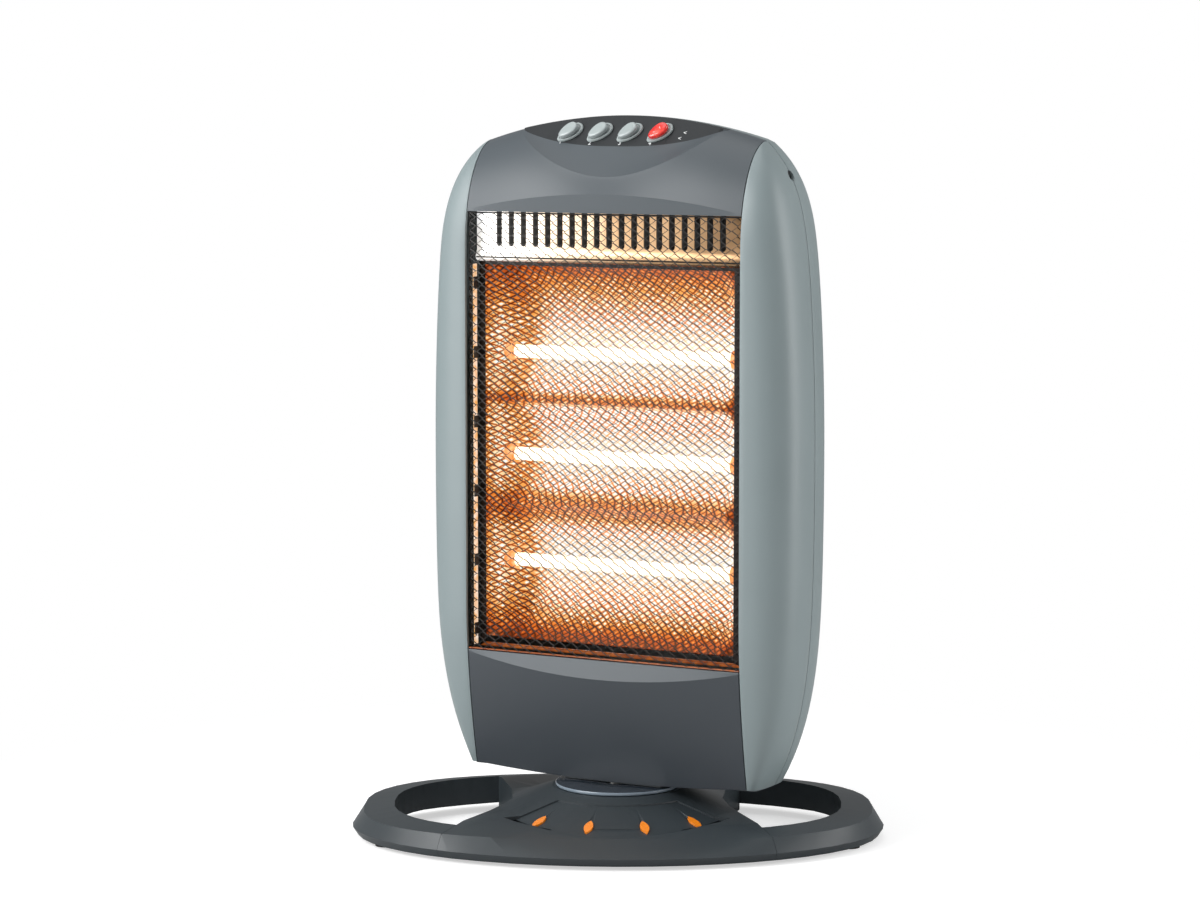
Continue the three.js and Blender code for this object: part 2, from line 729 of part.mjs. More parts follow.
function panelSheet(profileAt, count, upward) {
  const grids = [[], []];
  const columns = columnsAcross(count);
  for (const u of columns) {
    const profile = profileAt(u);
    const inside = upward
      ? innerProfile(profile)
      : profile.map(([v, z]) => [v + WALL, z]);
    grids[0].push(profile.map(([v, z]) => [u, v, z]));
    grids[1].push(inside.map(([v, z]) => [u, v, z]));
  }
  return upward ? sheet(grids[0], grids[1]) : sheet(grids[1], grids[0]);
}

const farBox = (low, high) =>
  box(
    low.map((value) => value ?? -FAR),
    high.map((value) => value ?? 2 * FAR),
  );

// A flat plate standing in the head, drawn as [u, z] corners.
function upright(outline, front, back, holes = []) {
  return prism(outline, -back, -front, holes).rotate([90, 0, 0]);
}

const screwSeat = sideHalf(SCREW_Z) - SCREW.deep;
const screwBar = (s, from, to, radius) =>
  bar([s * from, HEAD.partingV, SCREW_Z], [s * to, HEAD.partingV, SCREW_Z], radius, 20);

// A cup on the rear shell that a casing screw is driven into.
function screwBoss(s) {
  const post = screwBar(s, screwSeat - 5, screwSeat + 8, SCREW.radius + 1.5);
  const behind = farBox([null, HEAD.partingV + SEAT_GAP / 2, null], [null, null, null]);
  const within = join(headBody(WALL + SEAT_GAP), headBody(0.1).intersect(behind));
  return minus(
    post.intersect(within),
    screwBar(s, screwSeat - 9, screwSeat + 1, SCREW.shank + SEAT_GAP),
    screwBar(s, screwSeat, screwSeat + SCREW.reach, SCREW.radius),
  );
}

function buildShell() {
  const shell = headBody(0).subtract(headBody(WALL));
  const half = HEAD.bandHalf + SEAT_GAP / 2;
  const frontV = HEAD.partingV - SEAT_GAP / 2;
  const rearV = HEAD.partingV + SEAT_GAP / 2;
  const holes = [1, -1].map((s) =>
    screwBar(s, screwSeat, screwSeat + SCREW.reach, SCREW.radius),
  );
  const right = shell.intersect(farBox([half, null, null], [null, frontV, null]));
  const left = shell.intersect(farBox([null, null, null], [-half, frontV, null]));
  add(headGroup, "right_side_panel", minus(right, holes[0]), "side");
  add(headGroup, "left_side_panel", minus(left, holes[1]), "side");
  let rear = shell.intersect(farBox([null, rearV, null], [null, null, null]));
  const wallV = HEAD.partingV + HEAD.rearDepth;
  for (let i = 0; i < LOUVRE.count; i += 1) {
    const z = HEAD.height - LOUVRE.below + i * LOUVRE.pitch;
    const slot = box([-LOUVRE.half, wallV - 27, z], [LOUVRE.half, wallV + 13, z + LOUVRE.height]);
    rear = minus(rear, slot);
  }
  const atGland = (v) => [GLAND.u, v, GLAND.z];
  const inlet = bar(atGland(wallV - 37), atGland(wallV + 13), GLAND.hole, 20);
  rear = minus(rear, inlet, ...holes);
  add(headGroup, "rear_shell", join(rear, screwBoss(1), screwBoss(-1)), "side");
  for (const [i, name] of ["right", "left"].entries()) {
    const s = i ? -1 : 1;
    const screw = join(
      screwBar(s, screwSeat + SEAT_GAP, screwSeat + SEAT_GAP + 2, SCREW.radius - SEAT_GAP),
      screwBar(s, screwSeat - 6, screwSeat + 1, SCREW.shank),
    );
    add(headGroup, `casing_screw_${name}`, screw, "steel");
  }
  add(headGroup, "chin_panel", panelSheet(chinProfile, 16, false), "dark");
  const floorLoop = headLoop(HEAD.bottom, WALL + SEAT_GAP + 0.2);
  const plan = floorLoop.map(([x, y]) => [x, Math.max(y, floorFront)]);
  const plate = prism(plan, HEAD.bottom - 1.5, HEAD.bottom + 1);
  const bore = bar([0, 0, 30], [0, 0, 60], NECK.radius + SEAT_GAP, 32);
  const seatLow = DISC.bottom + DISC.thick + SEAT_GAP;
  const seat = bar([0, 0, seatLow], [0, 0, HEAD.bottom], DISC.radius - 5, 48).intersect(
    farBox([null, floorFront, null], [null, null, null]),
  );
  add(headGroup, "head_bottom_plate", minus(join(plate, seat), bore), "dark");
  const gland = minus(
    join(
      bar(atGland(wallV - 19), atGland(wallV - 7), GLAND.sleeve, 20),
      bar(atGland(wallV - 8.6), atGland(wallV - 6), GLAND.cap, 20),
    ),
    bar(atGland(wallV - 37), atGland(wallV + 3), GLAND.bore, 16),
  );
  add(headGroup, "cord_gland", gland, "black");
}

// ---- Switches ------------------------------------------------------------------------
// Drawn flat: x along the leaf towards its round end, z out of the panel.
function teardrop(length, width, low, high) {
  const outline = [];
  const steps = 9;
  for (let i = 0; i < 2 * steps; i += 1) {
    const a = (Math.PI * i) / steps;
    const taper = 0.62 + 0.38 * Math.cos(a);
    outline.push([(length / 2) * Math.cos(a), (width / 2) * Math.sin(a) * (0.55 + 0.62 * taper)]);
  }
  return prism(outline, low, high);
}

const controlTilt = (Math.atan(controlSlope) * 180) / Math.PI;
const switchU = (i) => SWITCHES.first + i * SWITCHES.pitch;

function ontoControls(solid, i) {
  const along = SWITCHES.along / Math.hypot(1, controlSlope);
  const v = POD.lipV + along;
  const z = POD_LIP + along * controlSlope;
  return solid.rotate([0, 0, 40]).rotate([controlTilt, 0, 0]).translate([switchU(i), v, z]);
}

function buildTopAndSwitches() {
  let panel = panelSheet(topProfile, 26, true);
  for (let i = 0; i < SWITCHES.count; i += 1) {
    const hole = box([-6.3, -3.9, -12], [6.3, 3.9, 6]);
    panel = minus(panel, ontoControls(hole, i));
    const flange = teardrop(SWITCHES.length + 3, SWITCHES.width + 2, 0.4, 2);
    const well = box([-6, -3.6, -9], [6, 3.6, 0.6]);
    const pocket = teardrop(SWITCHES.length - 1.4, SWITCHES.width - 1.6, 0.9, 5);
    const deep = box([-5, -2.6, -6], [5, 2.6, 5]);
    const body = minus(join(flange, well), pocket, deep);
    add(headGroup, `switch_body_${i + 1}`, ontoControls(body, i), "switchGrey");
    const cap = teardrop(SWITCHES.length - 3, SWITCHES.width - 3, 2.2, 5.2);
    const foot = box([-3.6, -2.6 + SEAT_GAP, -1.5], [3.6, 2.6 - SEAT_GAP, 2.4]);
    const rocker = join(cap, foot)
      .translate([0, 0, -SWITCHES.pivot])
      .rotate([0, -SWITCHES.tilt, 0])
      .translate([0, 0, SWITCHES.pivot]);
    const finish = i === SWITCHES.count - 1 ? "red" : "switchGrey";
    add(headGroup, `rocker_${i + 1}`, ontoControls(rocker, i), finish);
  }
  add(headGroup, "top_panel", panel, "dark");
}

// ---- Guard, reflector and lamps ------------------------------------------------------
function rect(halfU, low, high) {
  return [
    [-halfU, low],
    [halfU, low],
    [halfU, high],
    [-halfU, high],
  ];
}

function buildGuard() {
  const half = HEAD.bandHalf - SEAT_GAP / 2;
  const low = OPENING.bottom + SEAT_GAP;
  const high = OPENING_TOP - SEAT_GAP;
  const pitchU = (2 * (half - GUARD.border)) / GUARD.columns;
  const pitchZ = (high - low - 2 * GUARD.border) / GUARD.rows;
  const holes = [];
  const a = pitchU / 2 - GUARD.wire;
  const b = pitchZ / 2 - GUARD.wire * (pitchZ / pitchU);
  for (let j = 0; j < 2 * GUARD.rows - 1; j += 1) {
    const odd = j % 2;
    for (let i = 0; i < GUARD.columns - odd; i += 1) {
      const u = -half + GUARD.border + pitchU * (i + (odd ? 1 : 0.5));
      const z = low + GUARD.border + (pitchZ / 2) * (j + 1);
      holes.push([
        [u + a, z],
        [u, z + b],
        [u - a, z],
        [u, z - b],
      ]);
    }
  }
  const front = faceV(HEAD.bandHalf, OPENING.bottom) + GUARD.recess + 1;
  const net = upright(rect(half, low, high), front, front + GUARD.thick, holes);
  const returns = [-1, 1].map((s) =>
    box(
      [Math.min(s * half, s * (half - GUARD.thick)), front, low],
      [Math.max(s * half, s * (half - GUARD.thick)), front + GUARD.side, high],
    ),
  );
  add(headGroup, "guard_mesh", join(net, ...returns), "wire");
  const slots = [];
  for (let i = 0; i < VENT.slots; i += 1) {
    const u = (i - (VENT.slots - 1) / 2) * VENT.pitch;
    const r = VENT.slot / 2;
    const slot = [];
    for (let k = 0; k <= 4; k += 1) {
      const t = Math.PI + (Math.PI * k) / 4;
      slot.push([u + r * Math.cos(t), VENT_BOTTOM + VENT.foot + r + r * Math.sin(t)]);
    }
    for (let k = 0; k <= 4; k += 1) {
      const t = (Math.PI * k) / 4;
      slot.push([u + r * Math.cos(t), VENT_TOP - 6 + r * Math.sin(t)]);
    }
    slots.push(slot);
  }
  const ventHalf = half - GUARD.thick - SEAT_GAP;
  const plate = upright(rect(ventHalf, VENT_BOTTOM, VENT_TOP), VENT.v, VENT.v + 1, slots);
  const fold = box([-ventHalf, VENT.v, VENT_BOTTOM - 1], [ventHalf, VENT.v + 8, VENT_BOTTOM]);
  const sill = box([-ventHalf, VENT.v, VENT_BOTTOM - 1], [ventHalf, VENT.v + 1, VENT_BOTTOM + 1]);
  add(headGroup, "vent_plate", join(plate, fold, sill), "polished");
}

// How deep the reflector lies at a place: three troughs, with slanted end cheeks.
function reflectorV(u, z) {
  const marks = [REFLECTOR.bottom, ...[...REFLECTOR.ridges].reverse(), REFLECTOR_TOP];
  const k = marks.findIndex((mark, i) => z >= mark && z <= marks[i + 1] + 1e-9);
  const s = (z - marks[k]) / (marks[k + 1] - marks[k]);
  const wide = Math.abs(u) > REFLECTOR.half - 24 ? (REFLECTOR.half - Math.abs(u)) / 24 : 1;
  return REFLECTOR.mouthV + REFLECTOR.depth * Math.sin(Math.PI * s) ** 0.75 * Math.max(wide, 0);
}

function buildReflector() {
  const marks = [REFLECTOR.bottom, ...[...REFLECTOR.ridges].reverse(), REFLECTOR_TOP];
  const heights = [];
  const steps = 6;
  for (let k = 0; k < 3; k += 1) {
    for (let i = k ? 1 : 0; i <= steps; i += 1) heights.push(mix(marks[k], marks[k + 1], i / steps));
  }
  const edge = REFLECTOR.half;
  const across = [-edge - 3, -edge, 24 - edge, edge - 24, edge, edge + 3];
  const outer = across.map((u) => heights.map((z) => [u, reflectorV(u, z), z]));
  const inner = across.map((u) => heights.map((z) => [u, reflectorV(u, z) + 0.9, z]));
  let tray = sheet(outer, inner);
  for (const z of LAMP.levels) {
    for (const s of [-1, 1]) {
      tray = minus(tray, bar([s * 78, LAMP.v, z], [s * 118, LAMP.v, z], LAMP.capHalf + SEAT_GAP, 16));
    }
  }
  add(headGroup, "reflector", tray, "polished");
  const frameV = REFLECTOR.mouthV - SEAT_GAP - 1;
  const low = OPENING.bottom + 1;
  const high = VENT_BOTTOM - 1.4;
  const window = rect(REFLECTOR.half - 1, REFLECTOR.bottom + 1, REFLECTOR_TOP - 2.5);
  const frameHalf = HEAD.bandHalf - SEAT_GAP / 2 - GUARD.thick - SEAT_GAP;
  const frame = upright(rect(frameHalf, low, high), frameV, frameV + 1, [window]);
  add(headGroup, "reflector_frame", frame, "black");
  const middle = mix(REFLECTOR.ridges[0], REFLECTOR_TOP, 0.5);
  const back = REFLECTOR.mouthV + REFLECTOR.depth + 0.9 + SEAT_GAP;
  const cutout = bar([0, back, middle], [0, back + 9, middle], 8, 20);
  add(headGroup, "thermal_cutout", cutout, "black");
  const shelf = HEAD.bottom + 1 + SEAT_GAP;
  add(headGroup, "terminal_block", box([-70, 24, shelf], [-38, 40, shelf + 14]), "ceramic");
}

function buildLamps() {
  LAMP.levels.forEach((z, i) => {
    const at = (u) => [u, LAMP.v, z];
    const tube = minus(
      bar(at(-LAMP.half), at(LAMP.half), LAMP.radius, 16),
      bar(at(-LAMP.half - 1), at(LAMP.half + 1), LAMP.radius - LAMP.glass, 16),
    );
    add(headGroup, `quartz_tube_${i + 1}`, tube, "glass");
    const discs = [];
    for (let k = 0; k < 4; k += 1) {
      const u = (k - 1.5) * 44;
      discs.push(bar(at(u - 0.4), at(u + 0.4), LAMP.radius - LAMP.glass - SEAT_GAP, 8));
    }
    const coil = bar(at(-LAMP.half + 2), at(LAMP.half - 2), 1.6, 6);
    add(headGroup, `filament_${i + 1}`, join(coil, ...discs), "filament");
    for (const [s, name] of [
      [-1, "left"],
      [1, "right"],
    ]) {
      const cap = minus(
        bar(at(s * (LAMP.half - 6)), at(s * (LAMP.half + 8)), LAMP.capHalf, 16),
        bar(at(s * (LAMP.half - 8)), at(s * (LAMP.half + SEAT_GAP)), LAMP.radius + SEAT_GAP, 16),
      );
      add(headGroup, `lamp_cap_${name}_${i + 1}`, cap, "ceramic");
    }
  });
  for (const [s, name] of [
    [-1, "left"],
    [1, "right"],
  ]) {
    const inside = LAMP.half + 8 + SEAT_GAP;
    const edges = [s * inside, s * (inside + 1.2)].sort((a, b) => a - b);
    const low = LAMP.levels[2] - 14;
    const high = LAMP.levels[0] + 14;
    const strip = box([edges[0], LAMP.bracketFront, low], [edges[1], LAMP.v + 24, high]);
    const holes = LAMP.levels.map((z) => bar([s * 100, LAMP.v, z], [s * 112, LAMP.v, z], 3, 16));
    add(headGroup, `lamp_bracket_${name}`, minus(strip, ...holes), "steel");
  }
}

buildBase();
buildBaseFittings();
buildDrive();
buildShell();
buildTopAndSwitches();
buildGuard();
buildReflector();
buildLamps();

export default root;
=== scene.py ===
"""Looks of an oscillating halogen room heater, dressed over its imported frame.

The oval base carries a turning head: a dark front band with a control crescent, a net
guard with lit lamps behind it, paler side panels and a thin rear shell. Sizes are in
millimetres in the classes' fields and become metres where a mesh is placed.
"""

import json
import logging
import math
from contextlib import contextmanager
from dataclasses import dataclass, field
from enum import Enum
from typing import Callable, Iterator, Sequence

import bpy
from mathutils import Matrix, Vector

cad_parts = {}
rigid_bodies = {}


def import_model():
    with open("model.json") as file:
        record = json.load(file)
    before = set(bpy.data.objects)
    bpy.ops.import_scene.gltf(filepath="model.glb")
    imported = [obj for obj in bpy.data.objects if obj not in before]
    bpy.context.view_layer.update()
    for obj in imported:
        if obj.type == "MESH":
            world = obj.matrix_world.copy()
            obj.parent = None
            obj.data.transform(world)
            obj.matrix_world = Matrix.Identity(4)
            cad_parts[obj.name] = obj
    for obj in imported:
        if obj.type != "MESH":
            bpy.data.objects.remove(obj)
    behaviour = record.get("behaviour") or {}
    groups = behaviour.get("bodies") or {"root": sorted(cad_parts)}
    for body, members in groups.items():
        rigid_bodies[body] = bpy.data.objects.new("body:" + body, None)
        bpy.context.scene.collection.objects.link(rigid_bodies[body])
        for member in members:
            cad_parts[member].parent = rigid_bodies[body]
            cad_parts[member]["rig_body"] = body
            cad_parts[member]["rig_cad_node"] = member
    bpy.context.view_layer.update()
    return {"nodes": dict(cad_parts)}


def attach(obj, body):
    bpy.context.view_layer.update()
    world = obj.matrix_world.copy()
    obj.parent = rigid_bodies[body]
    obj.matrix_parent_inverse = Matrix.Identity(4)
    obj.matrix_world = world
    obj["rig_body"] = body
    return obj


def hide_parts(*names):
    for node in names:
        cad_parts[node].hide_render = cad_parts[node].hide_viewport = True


LOG = logging.getLogger("heater")
MM = 0.001
WELD = 0.00002
HEAD_TURN = math.radians(28)
TURNED = Matrix.Rotation(-HEAD_TURN, 4, "Z")
BEHIND = "head"
BELOW = "base"

Piece = bpy.types.Object
Face = bpy.types.MeshPolygon
Tree = bpy.types.NodeTree
Node = bpy.types.Node
Socket = bpy.types.NodeSocket
Point = tuple[float, float, float]
Place = Callable[[float, float], Point]


# ---- Node and colour helpers ---------------------------------------------------------
BUMP = "ShaderNodeBump"
HUE = "ShaderNodeHueSaturation"
MAPPING = "ShaderNodeMapping"
MATH = "ShaderNodeMath"
NOISE = "ShaderNodeTexNoise"
RAMP = "ShaderNodeValToRGB"
RANGE = "ShaderNodeMapRange"


def linear(code: str) -> tuple[float, float, float, float]:
    """Turns an sRGB hex colour into Blender's linear values.

    Args:
        code: six hex digits.

    Returns:
        Red, green, blue and a full alpha.
    """
    values = [int(code[i : i + 2], 16) / 255 for i in (0, 2, 4)]
    curve = [c / 12.92 if c <= 0.04045 else ((c + 0.055) / 1.055) ** 2.4 for c in values]
    return curve[0], curve[1], curve[2], 1.0


def connect(tree: Tree, node: Node, inputs: dict) -> Node:
    """Sets or links a node's inputs.

    Args:
        tree: node tree that holds the node.
        node: node whose inputs are meant.
        inputs: value, output socket, or node whose first output is meant, for each input.

    Returns:
        The same node.
    """
    for key, value in inputs.items():
        if isinstance(value, Node):
            value = value.outputs[0]
        if isinstance(value, Socket):
            tree.links.new(value, node.inputs[key])
        else:
            node.inputs[key].default_value = value
    return node


def add_node(
    tree: Tree, kind: str, inputs: dict | None = None, **settings: object
) -> Node:
    """Adds a node, sets it up and links it.

    Args:
        tree: node tree that it goes into.
        kind: Blender's name of the node's type.
        inputs: what goes into each input, as connect takes it.
        settings: the node's own properties.

    Returns:
        The new node.
    """
    node = tree.nodes.new(kind)
    for key, value in settings.items():
        setattr(node, key, value)
    return connect(tree, node, inputs or {})


def set_stops(node: Node, stops: Sequence[tuple[float, str | float]]) -> Node:
    """Sets a colour ramp's stops.

    Args:
        node: a ColorRamp node.
        stops: position and hex colour, or grey value, of each stop in rising order.

    Returns:
        The same node.
    """
    ramp = node.color_ramp
    while len(ramp.elements) < len(stops):
        ramp.elements.new(1.0)
    for element, (position, value) in zip(ramp.elements, stops):
        element.position = position
        element.color = linear(value) if isinstance(value, str) else (value, value, value, 1.0)
    return node


# ---- Mesh helpers --------------------------------------------------------------------
def deselect() -> None:
    """Leaves edit mode and deselects everything."""
    if bpy.context.mode != "OBJECT":
        bpy.ops.object.mode_set(mode="OBJECT")
    bpy.ops.object.select_all(action="DESELECT")


def pick(piece: Piece) -> None:
    """Makes one object the only selected and active one.

    Args:
        piece: the object.
    """
    deselect()
    piece.select_set(True)
    bpy.context.view_layer.objects.active = piece


@contextmanager
def editing(piece: Piece) -> Iterator[None]:
    """Opens a piece in edit mode with all of it selected, and closes it afterwards.

    Args:
        piece: the mesh.

    Returns:
        A context; what runs inside it edits the piece.
    """
    pick(piece)
    bpy.ops.object.mode_set(mode="EDIT")
    bpy.ops.mesh.select_all(action="SELECT")
    yield
    bpy.ops.object.mode_set(mode="OBJECT")


def head_point(u: float, v: float, z: float) -> Vector:
    """Turns a place in the head's own axes into the row frame, in metres.

    Args:
        u: place across, right is positive, in millimetres.
        v: depth.
        z: height.

    Returns:
        The place in metres.
    """
    x = u * math.cos(HEAD_TURN) + v * math.sin(HEAD_TURN)
    y = -u * math.sin(HEAD_TURN) + v * math.cos(HEAD_TURN)
    return Vector((x, y, z)) * MM


HEART = head_point(0, 20, 290)  # in the middle of the head
VIEWER = head_point(0, -200, 290)  # well in front of the head


def head_axes(point: Vector) -> Point:
    """Turns a place in the row frame, in metres, into the head's own axes.

    Args:
        point: place in metres.

    Returns:
        Place across, depth and height in millimetres.
    """
    x, y, z = (point / MM)[:]
    u = x * math.cos(HEAD_TURN) - y * math.sin(HEAD_TURN)
    return u, x * math.sin(HEAD_TURN) + y * math.cos(HEAD_TURN), z


def grid_sheet(name: str, columns: int, rows: int, place: Place) -> Piece:
    """Adds a grid and shapes it by moving each of its corners.

    Args:
        name: the piece's name.
        columns: steps along the first direction.
        rows: steps along the second direction.
        place: gives the point in the head's axes for two shares from 0 to 1.

    Returns:
        The shaped sheet, one face thick.
    """
    deselect()
    bpy.ops.mesh.primitive_grid_add(x_subdivisions=columns, y_subdivisions=rows, size=2)
    sheet = bpy.context.object
    sheet.name = name
    for vertex in sheet.data.vertices:
        vertex.co = head_point(*place((vertex.co.x + 1) / 2, (vertex.co.y + 1) / 2))
    return sheet


def weld(piece: Piece, outward: bool = True) -> None:
    """Merges a piece's doubles and, if asked, turns its faces outwards.

    Args:
        piece: the mesh.
        outward: whether its faces are turned outwards.
    """
    with editing(piece):
        bpy.ops.mesh.remove_doubles(threshold=WELD)
        if outward:
            bpy.ops.mesh.normals_make_consistent(inside=False)


def aim_faces(piece: Piece, point: Vector, towards: bool) -> None:
    """Turns an open sheet's faces towards a point, or away from it.

    Args:
        piece: the sheet.
        point: point that decides.
        towards: whether the faces look at it.
    """
    away = sum((f.center - point).dot(f.normal) * f.area for f in piece.data.polygons)
    if (away > 0) == towards:
        with editing(piece):
            bpy.ops.mesh.flip_normals()


def modify(piece: Piece, kind: str, **settings: object) -> None:
    """Adds a modifier with its settings and applies it.

    Args:
        piece: the mesh.
        kind: Blender's name of the modifier's type.
        settings: the modifier's own properties.
    """
    pick(piece)
    modifier = piece.modifiers.new(kind.title(), kind)
    for key, value in settings.items():
        setattr(modifier, key, value)
    bpy.ops.object.modifier_apply(modifier=modifier.name)


def repeat(piece: Piece, count: int, step: Point) -> None:
    """Repeats a piece in a row, with the step in metres.

    Args:
        piece: what is repeated.
        count: how many there are in the end.
        step: from one to the next.
    """
    modify(
        piece,
        "ARRAY",
        use_relative_offset=False,
        use_constant_offset=True,
        count=count,
        constant_offset_displace=step,
    )


def round_edges(piece: Piece, width: float, angle: float, steps: int = 2) -> None:
    """Rounds the edges that are sharper than an angle, in millimetres and degrees.

    Args:
        piece: the mesh.
        width: how far the rounding reaches.
        angle: least angle that is rounded.
        steps: faces across the rounding.
    """
    modify(
        piece,
        "BEVEL",
        width=width * MM,
        segments=steps,
        limit_method="ANGLE",
        angle_limit=math.radians(angle),
        miter_outer="MITER_ARC",
        use_clamp_overlap=True,
    )


def smooth(piece: Piece, angle: float) -> None:
    """Shades a piece smooth, apart from its sharp edges."""
    pick(piece)
    bpy.ops.object.shade_smooth_by_angle(angle=math.radians(angle))


def cut(piece: Piece, cutter: Piece) -> None:
    """Takes one mesh out of another and removes the cutter.

    Args:
        piece: mesh that is cut.
        cutter: mesh that is taken out of it.
    """
    modify(piece, "BOOLEAN", operation="DIFFERENCE", object=cutter, solver="EXACT")
    bpy.data.objects.remove(cutter)


def join(piece: Piece, other: Piece) -> None:
    """Makes another mesh a part of a piece.

    Args:
        piece: mesh that stays.
        other: mesh that goes into it.
    """
    deselect()
    other.select_set(True)
    piece.select_set(True)
    bpy.context.view_layer.objects.active = piece
    bpy.ops.object.join()


def twin(node: Piece, name: str) -> Piece:
    """Copies a frame node and merges the copy's loose triangles.

    Args:
        node: the frame node.
        name: the copy's name.

    Returns:
        The copy, free of the frame.
    """
    copy = node.copy()
    copy.data = node.data.copy()
    copy.parent = None
    copy.name = name
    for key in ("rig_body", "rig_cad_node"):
        if key in copy:
            del copy[key]
    bpy.context.scene.collection.objects.link(copy)
    weld(copy, outward=False)
    return copy


def apply_place(piece: Piece, matrix: Matrix) -> None:
    """Moves a piece and puts the move into its mesh.

    Args:
        piece: the mesh.
        matrix: the move.
    """
    pick(piece)
    piece.matrix_world = matrix @ piece.matrix_world
    bpy.ops.object.transform_apply(location=True, rotation=True, scale=True)


def block(size: Point) -> Piece:
    """Adds a box of a size in millimetres, flat at the origin.

    Args:
        size: its three sides.

    Returns:
        The box.
    """
    deselect()
    bpy.ops.mesh.primitive_cube_add(size=1)
    piece = bpy.context.object
    piece.scale = Vector(size) * MM
    bpy.ops.object.transform_apply(location=True, rotation=True, scale=True)
    return piece


def bar(radius: float, length: float, middle: Vector, axis: str) -> Piece:
    """Adds a round bar.

    Args:
        radius: its radius in millimetres.
        length: its length in millimetres.
        middle: where its middle is, in metres.
        axis: "Y" for one across the head, "X" for one from front to back.

    Returns:
        The bar, with its place in its mesh.
    """
    deselect()
    bpy.ops.mesh.primitive_cylinder_add(vertices=32, radius=radius * MM, depth=length * MM)
    piece = bpy.context.object
    apply_place(piece, Matrix.Translation(middle) @ TURNED @ Matrix.Rotation(math.pi / 2, 4, axis))
    return piece


# ---- Finishes ------------------------------------------------------------------------
class Sheen(Enum):
    """How glossy a moulding left its tool, as roughness."""

    GLOSS = 0.2
    SATIN = 0.42
    MATT = 0.62


@dataclass(frozen=True)
class Finish:
    """A finish whose material is made once and shared."""

    name: str

    def material(self) -> bpy.types.Material:
        """Makes the material, or gives the one made before.

        Returns:
            The material.
        """
        made = bpy.data.materials.get(self.name)
        if made:
            return made
        paint = bpy.data.materials.new(self.name)
        paint.use_nodes = True
        tree = paint.node_tree
        place = add_node(tree, "ShaderNodeTexCoord").outputs["Object"]
        connect(tree, tree.nodes["Principled BSDF"], self.inputs(tree, place))
        return paint

    def inputs(self, tree: Tree, place: Socket) -> dict:
        """Works out what goes into the shader.

        Args:
            tree: the material's node tree.
            place: socket with the object coordinates.

        Returns:
            Node or value for each of the shader's inputs.
        """
        raise NotImplementedError


@dataclass(frozen=True)
class MouldedPlastic(Finish):
    """Injection-moulded plastic: an even colour with a fine spark-eroded grain."""

    colour: str
    sheen: Sheen = Sheen.SATIN
    grain_mm: float = 0.9  # the real grain is finer, and drawn as coarse as it shows
    grain_depth: float = 0.05
    coat: float = 0.0

    def inputs(self, tree: Tree, place: Socket) -> dict:
        """Gives soft clouds of tone and gloss over a fine grain.

        Args:
            tree: the material's node tree.
            place: socket with the object coordinates.

        Returns:
            Node or value for each of the shader's inputs.
        """
        rough = self.sheen.value
        fine = 1000.0 / self.grain_mm
        cloud = add_node(tree, NOISE, {"Vector": place, "Scale": 14.0, "Detail": 3.0})
        value = add_node(tree, RANGE, {"Value": cloud, "To Min": 0.94, "To Max": 1.06})
        grain = add_node(tree, NOISE, {"Vector": place, "Scale": fine, "Detail": 2.0})
        bump = {"Height": grain, "Strength": self.grain_depth, "Distance": 0.0004}
        uneven = {"Value": cloud, "To Min": rough - 0.04, "To Max": rough + 0.06}
        return {
            "Base Color": add_node(tree, HUE, {"Color": linear(self.colour), "Value": value}),
            "Roughness": add_node(tree, RANGE, uneven),
            "Normal": add_node(tree, BUMP, bump),
            "IOR": 1.5,
            "Coat Weight": self.coat,
        }


@dataclass(frozen=True)
class TranslucentCap(Finish):
    """Tinted polycarbonate: glossy, with light that passes into the colour."""

    colour: str
    light: str

    def inputs(self, tree: Tree, place: Socket) -> dict:
        """Gives a deep colour with a lighter cloud in it and a weak glow.

        Args:
            tree: the material's node tree.
            place: socket with the object coordinates.

        Returns:
            Node or value for each of the shader's inputs.
        """
        cloud = add_node(tree, NOISE, {"Vector": place, "Scale": 160.0, "Detail": 2.0})
        ramp = add_node(tree, RAMP, {"Fac": cloud})
        set_stops(ramp, [(0.3, self.colour), (0.75, self.light)])
        return {
            "Base Color": ramp,
            "Emission Color": ramp,
            "Emission Strength": 0.15,
            "Roughness": 0.14,
            "Coat Weight": 0.6,
            "Subsurface Weight": 0.2,
            "Subsurface Scale": 0.002,
        }


@dataclass(frozen=True)
class Metal(Finish):
    """Sheet or wire metal with fine drawn lines and a slightly uneven polish."""

    colour: str
    roughness: float
    line_mm: float = 0.5
    metallic: float = 1.0

    def inputs(self, tree: Tree, place: Socket) -> dict:
        """Gives lines across the head that change tone, gloss and height.

        Args:
            tree: the material's node tree.
            place: socket with the object coordinates.

        Returns:
            Node or value for each of the shader's inputs.
        """
        drawn = add_node(
            tree, MAPPING, {"Vector": place, "Rotation": (0, 0, HEAD_TURN), "Scale": (1, 1, 12)}
        )
        fine = 90.0 / self.line_mm
        lines = add_node(tree, NOISE, {"Vector": drawn, "Scale": fine, "Detail": 4.0})
        value = add_node(tree, RANGE, {"Value": lines, "To Min": 0.88, "To Max": 1.1})
        bump = {"Height": lines, "Strength": 0.05, "Distance": 0.0003}
        polish = {
            "Value": lines,
            "To Min": self.roughness * 0.75,
            "To Max": self.roughness * 1.3,
        }
        return {
            "Base Color": add_node(tree, HUE, {"Color": linear(self.colour), "Value": value}),
            "Roughness": add_node(tree, RANGE, polish),
            "Normal": add_node(tree, BUMP, bump),
            "Metallic": self.metallic,
        }


